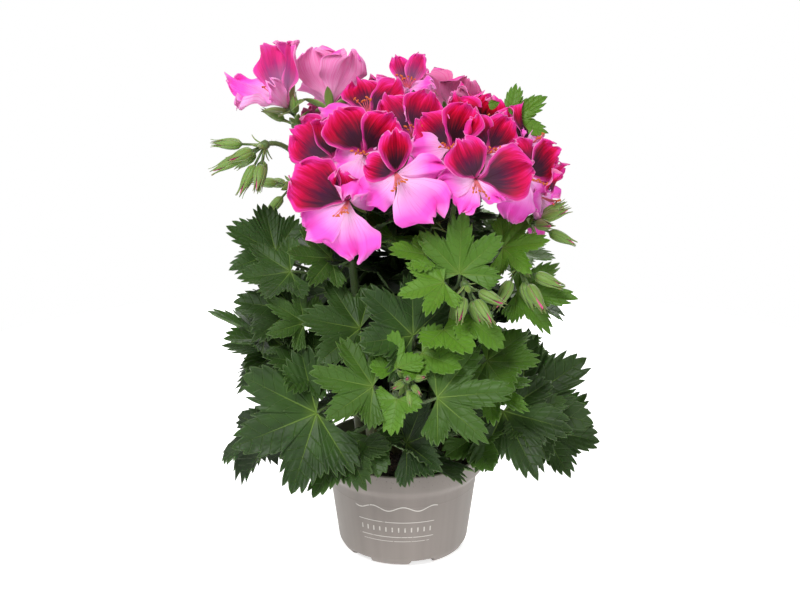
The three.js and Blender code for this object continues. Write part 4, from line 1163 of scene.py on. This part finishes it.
def add_leaf(shape, leaf, parts):
    rng = np.random.default_rng(leaf["seed"])
    lobes = FORMS[leaf["form"]]["lobes"]
    angle, reach, offset, notch = finer(leaf_outline(leaf["form"], rng), parts).T
    f = np.array(LEAF_ROWS[1::3] if "shade" in leaf else LEAF_ROWS)[:, None]
    r = f * reach
    height = blade_height(leaf, f, r, angle, offset, notch, rng)
    a = np.radians(angle)
    flat = np.cos(a)[:, None] * leaf["tip"] + np.sin(a)[:, None] * leaf["side"]
    points = leaf["foot"] + leaf["length"] * (r[..., None] * flat + height[..., None] * leaf["face"])
    points = np.concatenate((leaf["foot"][None], points.reshape(-1, 3)))
    rows, columns = r.shape
    fan = np.stack((np.zeros(columns - 1, int), np.arange(1, columns), np.arange(2, columns + 1)), 1)
    faces = np.concatenate((fan, (grid_faces(rows, columns) + 1)[:, ::-1]))
    across = np.sin(offset * rad(lobes[1] - lobes[0]) / 2) * r
    place = np.concatenate((((0, 0, 0.5),), grid_rows(across, r, (1 - f) * reach)))
    own = (*leaf_age(leaf, rng), 0)
    blade(shape, points, faces, LEAF_THICKNESS, (LEAF_FACE, LEAF_BACK), place, own)
    stalk = path_points(petiole_path(leaf, leaf["bow"]), 12)
    radii = PETIOLE_RADIUS * np.linspace(1.25, 0.85, 12)
    tube(shape, stalk, radii, 8, STALK, (0.12, 0, 0))
    if "shade" not in leaf:
        hairs(shape, stalk, radii, "petiole", leaf["seed"])


def add_bracts(shape, centre, tip, count, length, seed):
    """Small pointed bracts in a ring round a knob."""
    rng = np.random.default_rng(seed)
    first = unit(np.cross(tip, (0.3, 0.9, 0.2)))
    second = np.cross(tip, first)
    for k in range(count):
        turn = rad(k * GOLDEN_ANGLE)
        out = toward(first, second, turn)
        lean = rad(rng.uniform(28, 62))
        direction = toward(tip, out, lean)
        face = tip * math.sin(lean) - out * math.cos(lean)
        size = length * rng.uniform(0.75, 1.2)
        foot = centre + out * 1.6
        lance(shape, foot, direction, face, size, size * BRACT_SLIMNESS, rng.uniform(0.2, 0.9))


def add_knob(shape, centre):
    """A rounded knob that stalks spring from."""
    heights = np.linspace(-1, 1, 7)
    points = [centre + np.array((0, 0, h * HUB_RADIUS)) for h in heights]
    radii = [max(0.15, math.sqrt(max(0, 1 - h * h))) * HUB_RADIUS for h in heights]
    tube(shape, points, radii, 10, STALK)


def add_bud(shape, start, root, tip, length, seed):
    """A long bud on its stalk: five sepals closed over the rolled petals, which show pink
    between two of them."""
    rng = np.random.default_rng(seed)
    axis = unit(tip - root)
    radius = length / BUD_SLIMNESS
    tube(shape, path_points(lambda u: mix(start, root, u), 5), [PEDICEL_RADIUS * 0.9] * 5, 7, STALK)
    swell = np.sin(math.pi * np.linspace(0, 1, 13) ** 0.62) ** 0.8
    spine = path_points(lambda u: mix(root, tip, 0.9 * u), 13)
    tube(shape, spine, np.maximum(0.2, swell * radius * 0.84), 12, BUD_PETAL)
    first = unit(np.cross(axis, (0.2, 0.4, 0.9)))
    second = np.cross(axis, first)
    opening = rng.uniform(0, 2 * math.pi)
    rows, columns = 9, 5
    v, w = grid_shares(rows, columns)
    narrowing = np.where(v > 0.55, np.clip((1 - v) / 0.45, 0.04, 1) ** 0.8, 1)
    splay = 0.5 * np.clip((v - 0.72) / 0.28, 0, 1) ** 2
    round_bud = radius * (np.sin(math.pi * v**0.62) ** 0.8 * (1 + 0.07 * (1 - w * w)) + 0.1) + 0.12
    faces = grid_faces(rows, columns)[:, ::-1]
    place = grid_rows(w, v, 0.0)
    for k, centre in enumerate(circle(5)):
        turn = opening + centre + (0.68 if k < 2 else 0.6) * w * narrowing
        r = np.maximum(round_bud, 0.35) + splay * radius * (0.9 + 0.5 * (k % 2))
        out = np.cos(turn)[..., None] * first + np.sin(turn)[..., None] * second
        points = root + (tip - root) * v[..., None] + out * r[..., None]
        points = points.reshape(-1, 3)
        blade(shape, points, faces, BUD_SKIN_THICKNESS, (SEPAL, SEPAL), place, (0, 0, 0))
    hairs(shape, spine, swell * radius, "bud", seed)


def buds_of(row, seed):
    """Where each bud of a bunch leaves the hub, starts to swell and ends."""
    _, x, y, z, heading, rise, count, length = row
    random = make_random(seed)
    hub = np.array((x, y, z), float)
    tip, face, side = frame_of(heading, rise, 0)
    buds = []
    for k in range(count):
        turn = rad(k * GOLDEN_ANGLE + random(-15, 15))
        tilt = rad(12 + 38 * (k + 1) / count)
        axis = toward(tip, toward(face, side, turn), tilt)
        root = hub + axis * length * random(0.4, 0.7)
        buds.append((hub + axis * HUB_RADIUS * 0.4, root, root + axis * length * random(0.85, 1.1)))
    return buds


def add_peduncle(shape, name, hub):
    crown = np.array(STEMS[name][1], float)
    root = stem_path(name)(0.97)
    middle = np.array(((crown[0] + hub[0]) / 2, (crown[1] + hub[1]) / 2, max(crown[2], hub[2]) + 4))
    points = path_points(lambda u: bend(root, middle, hub, u), 9)
    radii = np.full(9, PEDUNCLE_RADIUS)
    tube(shape, points, radii, 9, STALK)
    hairs(shape, points, radii, "peduncle", len(name) + int(hub[2]))


def add_calyx(shape, hub, bloom):
    """The flower stalk, and the green star of five pointed sepals under the bloom."""
    axis, base = bloom["axis"], bloom["base"]
    end = base - axis * CALYX_LENGTH
    start = hub + unit(end - hub) * HUB_RADIUS * 0.4
    middle = end - axis * 0.45 * np.linalg.norm(end - start)
    points = path_points(lambda u: bend(start, middle, end, u), 9)
    points += [end + axis * CALYX_LENGTH * u for u in (0.3, 0.6, 0.9)]
    radii = np.array([PEDICEL_RADIUS] * 9 + [1.35, 1.9, CALYX_RADIUS])
    tube(shape, points, radii, 9, STALK, flutes=0.05)
    hairs(shape, points, radii, "pedicel", bloom["seed"])
    rng = np.random.default_rng(bloom["seed"])
    for turn in circle(5):
        out = toward(bloom["up"], bloom["side"], turn + rng.uniform(-0.12, 0.12))
        lean = rad(clamp(34 + 34 * bloom["openness"], 0, 66) + rng.uniform(-9, 9))
        direction = toward(axis, out, lean)
        face = axis * math.sin(lean) - out * math.cos(lean)
        foot = base - axis * 2.4 + out * (CALYX_RADIUS - 0.6)
        length = SEPAL_LENGTH * rng.uniform(0.85, 1.1) * (1.5 if bloom["depth"] < 0.8 else 1.1)
        lance(shape, foot, direction, face, length, length * SEPAL_SLIMNESS, rng.uniform(0.1, 0.6))


def add_stem(shape, name):
    foot = STEMS[name][0]
    points = [np.array((*foot, SOIL_HEIGHT - STEM_DEPTH), float)] + path_points(stem_path(name), 26)
    at = np.linspace(0, 1, 26)
    joints = 0.35 * np.exp(-(((at * 7) % 1 - 0.5) / 0.13) ** 2)
    radii = np.array([STEM_FOOT_RADIUS, *(mix(STEM_FOOT_RADIUS, STEM_TOP_RADIUS, at) + joints)])
    tube(shape, points, radii, 14, STALK, (1, 0, 0))
    hairs(shape, points[8:], radii[8:], "stem", len(name))


def stem_piece(name):
    shape = Shape()
    add_stem(shape, name)
    up = np.array((0, 0, 1.0))
    seed = BRACT_SEED + list(STEMS).index(name)
    own = [bloom for bloom in blooms.values() if bloom["stem"] == name]
    add_bracts(shape, np.array(STEMS[name][1], float), up, 6, 12, seed)
    if own:
        hub = bloom_hub(name, own)
        add_peduncle(shape, name, hub)
        add_knob(shape, hub)
        add_bracts(shape, hub, up, 6, 9, seed + 20)
        for bloom in own:
            add_calyx(shape, hub, bloom)
    for i, row in enumerate(BUNCHES.values()):
        if row[0] != name:
            continue
        hub = np.array(row[1:4], float)
        add_peduncle(shape, name, hub)
        add_knob(shape, hub)
        add_bracts(shape, hub, frame_of(row[4], row[5], 0)[0], 7, 10, seed + 60 + i)
        for k, (start, root, tip) in enumerate(buds_of(row, BUNCH_SEED + i)):
            add_bud(shape, start, root, tip, row[7], BUD_SEED + 10 * i + k)
    for leaf in leaves:
        if leaf["stem"] == name:
            add_leaf(shape, leaf, 1 if leaf["form"] == "plain" else 2)
    piece = shape.make("foliage_" + name, FOLIAGE)
    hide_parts("leafy_stem_" + name)


# Flowers
def petal_profile(tip, openness, share):
    """How far out and forward a petal's midline is at a share of its length, and its slope there."""
    steps = 8
    end = tip + (1 - openness) * CLOSED_SLOPE
    slope_at = lambda at: np.radians(THROAT_SLOPE + (end - THROAT_SLOPE) * np.clip(at / 0.5, 0, 1))
    out, forward = 0, 0
    for i in range(steps):
        slope = slope_at(share * (i + 0.5) / steps)
        out = out + np.cos(slope) * share / steps
        forward = forward + np.sin(slope) * share / steps
    return out, forward, slope_at(share)


def petal_half(width, openness, v, outward):
    """Half width of a petal: side by side in the throat, then broadening over each other to rounded ends."""
    opened = np.sin((math.pi / 2) * np.clip(v / BROADEST, 0, 1)) ** 1.5
    ended = np.sqrt(1 - END_NARROWING * np.clip((v - BROADEST) / (1 - BROADEST), 0, 1) ** 2)
    spread = width * (CLOSED_WIDTH + (1 - CLOSED_WIDTH) * openness) * opened * ended
    return np.minimum(spread, (THROAT_FILL + FLARE_FILL * openness * np.maximum(0, v - THROAT_END)) * outward)


def add_petal(shape, bloom, petal, phase, changes, rng):
    turned, raised, wider, longer = changes
    rows, columns = PETAL_GRID if bloom["base"][1] < BACK_SIDE else BACK_PETAL_GRID
    v, w = grid_shares(rows, columns, 0.03)
    out = toward(bloom["up"], bloom["side"], rad(petal["angle"] + turned + rng.uniform(-4, 4)))
    across = np.cross(bloom["axis"], out)
    length = bloom["length"] * petal["length"] * bloom["shares"][petal["upper"]] * longer
    length *= rng.uniform(0.96, 1.03)
    tip = petal["tip"] + raised + rng.uniform(-15, 12)
    a, b, c, d = rng.uniform(0, 2 * math.pi, 4)
    by_side = lambda right, left: np.where(w > 0, right, left)
    rounding = END_ROUNDING * w**2 + CORNER_ROUNDING * w**6
    scallop = sum(depth * np.sin(count * w + shift) for (depth, count), shift in zip(SCALLOPS, (a, b, c)))
    share = v * (1 - rounding * v**2 + scallop * v**5)
    outward, forward, slope = petal_profile(tip, bloom["openness"], share)
    front = np.cos(slope)[..., None] * bloom["axis"] - np.sin(slope)[..., None] * out
    lift = RUFFLE * v**3 * (1 - w * w) * np.sin(phase + RUFFLE_TURNS * w) + PETAL_TWIST * w * v
    frill = np.sin(7.5 * w + 1.6 * np.sin(2.3 * w + d) + c) * (0.65 + 0.35 * np.sin(3 * w + d))
    lift += FRILL * (v**4 * frill + 0.22 * v**8 * np.sin(19 * w + b))
    lift -= rng.uniform(-0.02, 0.07) * v**4 * w * w
    side_frill = np.sin(13 * v + 1.6 * np.sin(3 * v + c) + by_side(a, b))
    lift += SIDE_FRILL * np.abs(w) ** 3 * v**1.1 * side_frill
    lift += EDGE_CURL * v**8 * np.sin(17 * w + 2 * np.sin(3 * w + a) + d)
    lift += EDGE_CURL * np.abs(w) ** 6 * v**1.5 * np.sin(16 * v + by_side(c, d))
    lift -= 0.02 * v * np.exp(-((w / 0.12) ** 2))
    half = petal_half(petal["width"] * wider * rng.uniform(0.96, 1.05), bloom["openness"], v, outward)
    waves = 0.5 * np.sin(11 * v + by_side(b, d)) + 0.6 * np.sin(24 * v + by_side(d, b))
    half = half * (1 + MARGIN_CURL * np.clip(v * 1.4 - 0.4, 0, 1) * waves)
    points = forward[..., None] * bloom["axis"] + lift[..., None] * front
    points = points + outward[..., None] * out + (w * half)[..., None] * across
    points = (bloom["base"] + length * points).reshape(-1, 3)
    edge = np.minimum((1 - v) * length, (1 - np.abs(w)) * half * length * 0.9)
    blotch = rng.uniform(0.92, 1) * bloom["depth"] if petal["upper"] else 0
    own = (petal["upper"], rng.uniform(0, 40), blotch)
    faces = grid_faces(rows, columns)[:, ::-1]
    blade(shape, points, faces, PETAL_THICKNESS, (PETAL_FACE, PETAL_BACK), grid_rows(v, w, edge), own)


def add_stamens(shape, bloom, rng):
    """Filaments with their anthers, from the bottom of the throat."""
    axis, down, side = bloom["axis"], -bloom["up"], bloom["side"]
    length = 0.5 * bloom["length"]
    for k in range(STAMENS):
        sway = (k - (STAMENS - 1) / 2) / STAMENS
        reach = length * rng.uniform(0.8, 1.05)
        start = bloom["base"] + axis * 2 + side * sway * 1.6
        bow = start + axis * reach * 0.6 + down * 1.5 + side * sway * 4
        end = start + axis * reach + down * rng.uniform(-0.5, 3.5) + side * sway * rng.uniform(9, 14)
        points = path_points(lambda u: bend(start, bow, end, u), 7)
        tube(shape, points, np.linspace(0.42, 0.24, 7), 6, FILAMENT)
        lie = unit(side * rng.uniform(-1, 1) + down * rng.uniform(-1, 1) + axis * 0.3)
        pod = [end + lie * u for u in (-1.3, -0.8, 0, 0.8, 1.3)]
        tube(shape, pod, [0.2, 0.55, 0.68, 0.55, 0.2], 7, ANTHER)


def bloom_piece(name, bloom):
    shape = Shape()
    rng = np.random.default_rng(bloom["seed"])
    changes = PETAL_CHANGES.get(name, ((0, 0, 1, 1),) * len(PETALS))
    for petal, phase, change in zip(PETALS, bloom["phases"], changes):
        add_petal(shape, bloom, petal, phase, change, rng)
    add_stamens(shape, bloom, rng)
    piece = shape.make("bloom_" + name, FLOWER)
    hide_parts("petals_" + name)


# Pot and mix
def rounded(profile, radius, steps=4):
    """The profile with its corners turned on small arcs."""
    points = [np.array(p, float) for p in profile]
    smooth = [points[0]]
    for before, corner, after in zip(points, points[1:], points[2:]):
        reach = min(radius, 0.45 * np.linalg.norm(corner - before), 0.45 * np.linalg.norm(after - corner))
        start = corner + unit(before - corner) * reach
        end = corner + unit(after - corner) * reach
        smooth += [bend(start, corner, end, u) for u in np.linspace(0, 1, steps)]
    return smooth + [points[-1]]


def pot_piece():
    wall_at = lambda u: (mix(FOOT_RADIUS + 0.6, COLLAR_RADIUS, u), mix(FOOT_ROUND, COLLAR_HEIGHT, u))
    line_radius, line_height = wall_at(0.85)
    profile = [
        (0, 0),
        (FOOT_RADIUS - DRAIN_DEPTH - 0.4, 0),
        (FOOT_RADIUS - DRAIN_DEPTH + 0.4, 0),
        (FOOT_RADIUS - FOOT_ROUND, 0),
        (FOOT_RADIUS - FOOT_ROUND * 0.29, FOOT_ROUND * 0.29),
        wall_at(0),
        wall_at(0.84),
        (line_radius + MOULD_LINE, line_height),
        wall_at(0.86),
        (COLLAR_RADIUS, COLLAR_HEIGHT),
        (RIM_RADIUS - LIP + 0.6, COLLAR_HEIGHT + COLLAR_FLARE),
        (RIM_RADIUS, RIM_HEIGHT),
        (RIM_RADIUS - LIP, RIM_HEIGHT),
        (COLLAR_RADIUS - WALL, COLLAR_HEIGHT + 0.6),
        (FOOT_RADIUS - WALL - 0.6, FLOOR_THICKNESS),
        (0, FLOOR_THICKNESS),
    ]
    turns = circle(POT_SEGMENTS)
    rings = [ring(radius, height, turns) for radius, height in rounded(profile, 1.6)[1:-1]]
    points = np.concatenate(rings + [np.array(((0, 0, 0), (0, 0, FLOOR_THICKNESS)), float)])
    for k in range(DRAIN_COUNT):
        turn = rad(DRAIN_FIRST_ANGLE + 360 * k / DRAIN_COUNT)
        along = points[:, 0] * math.cos(turn) + points[:, 1] * math.sin(turn)
        off = np.abs(points[:, 1] * math.cos(turn) - points[:, 0] * math.sin(turn))
        cut = (along > FOOT_RADIUS - DRAIN_DEPTH) & (off < DRAIN_WIDTH / 2) & (points[:, 2] < DRAIN_HEIGHT)
        points[cut, 2] = DRAIN_HEIGHT
    soiled = np.clip((points[:, 2] - RIM_HEIGHT + 16) / 16, 0, 1)
    place = np.stack((np.arctan2(points[:, 1], points[:, 0]), points[:, 2], soiled), 1)
    shape = Shape()
    shape.add(points, ring_faces(len(rings), POT_SEGMENTS), 0, place, (0, 0, 0))
    piece = shape.make("pot_shell", [pot_paint()], sharp=50)
    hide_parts("pot")


def soil_piece():
    """The crumbly top of the mix, down to the wall, with loose crumbs and bark chips on it."""
    rng = np.random.default_rng(SOIL_SEED)
    slope = (RIM_RADIUS - LIP - COLLAR_RADIUS + WALL) / (RIM_HEIGHT - COLLAR_HEIGHT)
    top = COLLAR_RADIUS - WALL - 0.6 + (SOIL_HEIGHT - COLLAR_HEIGHT) * slope
    swell_at = lambda radius: SOIL_SWELL * np.clip((top - radius) / (top * 0.4), 0, 1)
    segments = 96
    turns = circle(segments)
    radii = np.linspace(1, top, 26)[:, None]
    x, y = radii * np.cos(turns), radii * np.sin(turns)
    waves = 0.7 * np.sin(x * 0.9 + 1) * np.sin(y * 0.8) + 0.5 * np.sin(x * 2.1 + y * 1.7)
    bumps = waves + rng.uniform(-0.6, 0.6, x.shape)
    z = SOIL_HEIGHT + swell_at(radii) + np.where(radii < top - 1, bumps - 0.9, 0)
    floor = FLOOR_THICKNESS + 0.5
    rows = [
        grid_rows(x, y, z),
        ring(COLLAR_RADIUS - WALL - 0.6, COLLAR_HEIGHT, turns),
        ring(FOOT_RADIUS - WALL - 1.2, floor, turns),
        np.array(((0, 0, SOIL_HEIGHT + SOIL_SWELL - 0.5), (0, 0, floor)), float),
    ]
    shape = Shape()
    faces = ring_faces(len(radii) + 2, segments)[:, ::-1]
    shape.add(np.concatenate(rows), faces, 0, (0, 0, 0), (0, 0, 0))
    for _ in range(CRUMBS):
        away, turn = top * math.sqrt(rng.uniform(0, 0.97)), rng.uniform(0, 2 * math.pi)
        size = rng.uniform(0.6, 1.9)
        long = unit(rng.normal(size=3) * (1, 1, 0.4))
        centre = np.array((away * math.cos(turn), away * math.sin(turn), SOIL_HEIGHT + 0.4 * size))
        centre[2] += swell_at(away) - 0.7
        spine = [centre + long * size * u for u in (-1, -0.45, 0.45, 1)]
        widths = [size * share for share in (0.25, 0.72, 0.66, 0.2)]
        tube(shape, spine, widths, 5, int(rng.integers(0, 2)))
    mix_paint = plain_paint("potting_mix", tone(20, 15, 12), tone(52, 39, 30), 0.92, 700, 0.0012)
    chip_paint = plain_paint("bark_chip", tone(40, 28, 20), tone(82, 60, 42), 0.85, 500, 0.0008)
    piece = shape.make("soil", [mix_paint, chip_paint], sharp=60)
    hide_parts("potting_mix")


pot_piece()
soil_piece()
for name in STEMS:
    stem_piece(name)
for name, bloom in blooms.items():
    bloom_piece(name, bloom)


# Stage, light and camera
def add_floor():
    mesh = bpy.data.meshes.new("floor")
    rim = ring(FLOOR_RADIUS, 0, circle(96))
    mesh.from_pydata(rim.tolist(), [], [range(96)])
    paint = Paint("pale_floor", 0.9, Emission_Color=(1, 1, 1, 1), Emission_Strength=0.7)
    paint.colour(paint.blend(paint.noise(3, 2), (0.86, 0.86, 0.86), (0.88, 0.88, 0.88)))
    mesh.materials.append(paint.material)
    floor = bpy.data.objects.new("floor", mesh)
    bpy.context.scene.collection.objects.link(floor)


def add_light(name, place, target, size, power):
    light = bpy.data.lights.new(name, "AREA")
    light.shape = "DISK"
    light.size = size
    light.energy = power
    holder = bpy.data.objects.new(name, light)
    bpy.context.scene.collection.objects.link(holder)
    holder.location = place
    direction = np.array(target) - np.array(place)
    yaw = math.atan2(direction[0], -direction[1])
    pitch = math.atan2(math.hypot(direction[0], direction[1]), -direction[2])
    holder.rotation_euler = (pitch, 0, yaw + math.pi)


add_floor()
for name, row in LIGHTS.items():
    add_light(name, *row)

world = bpy.data.worlds.new("studio")
world.use_nodes = True
sky = world.node_tree.nodes["Background"]
sky.inputs["Color"].default_value = (1, 1, 1, 1)
rays = world.node_tree.nodes.new("ShaderNodeLightPath")
strength = world.node_tree.nodes.new("ShaderNodeMapRange")
strength.inputs["To Min"].default_value = ROOM_LIGHT
strength.inputs["To Max"].default_value = BACKDROP
world.node_tree.links.new(rays.outputs["Is Camera Ray"], strength.inputs["Value"])
world.node_tree.links.new(strength.outputs["Result"], sky.inputs["Strength"])
bpy.context.scene.world = world
bpy.context.scene.view_settings.view_transform = "Standard"

lens = bpy.data.cameras.new("camera")
lens.lens = LENS
camera = bpy.data.objects.new("camera", lens)
bpy.context.scene.collection.objects.link(camera)
camera.location = CAMERA_PLACE
camera.rotation_euler = (rad(CAMERA_PITCH), 0, 0)
bpy.context.scene.camera = camera
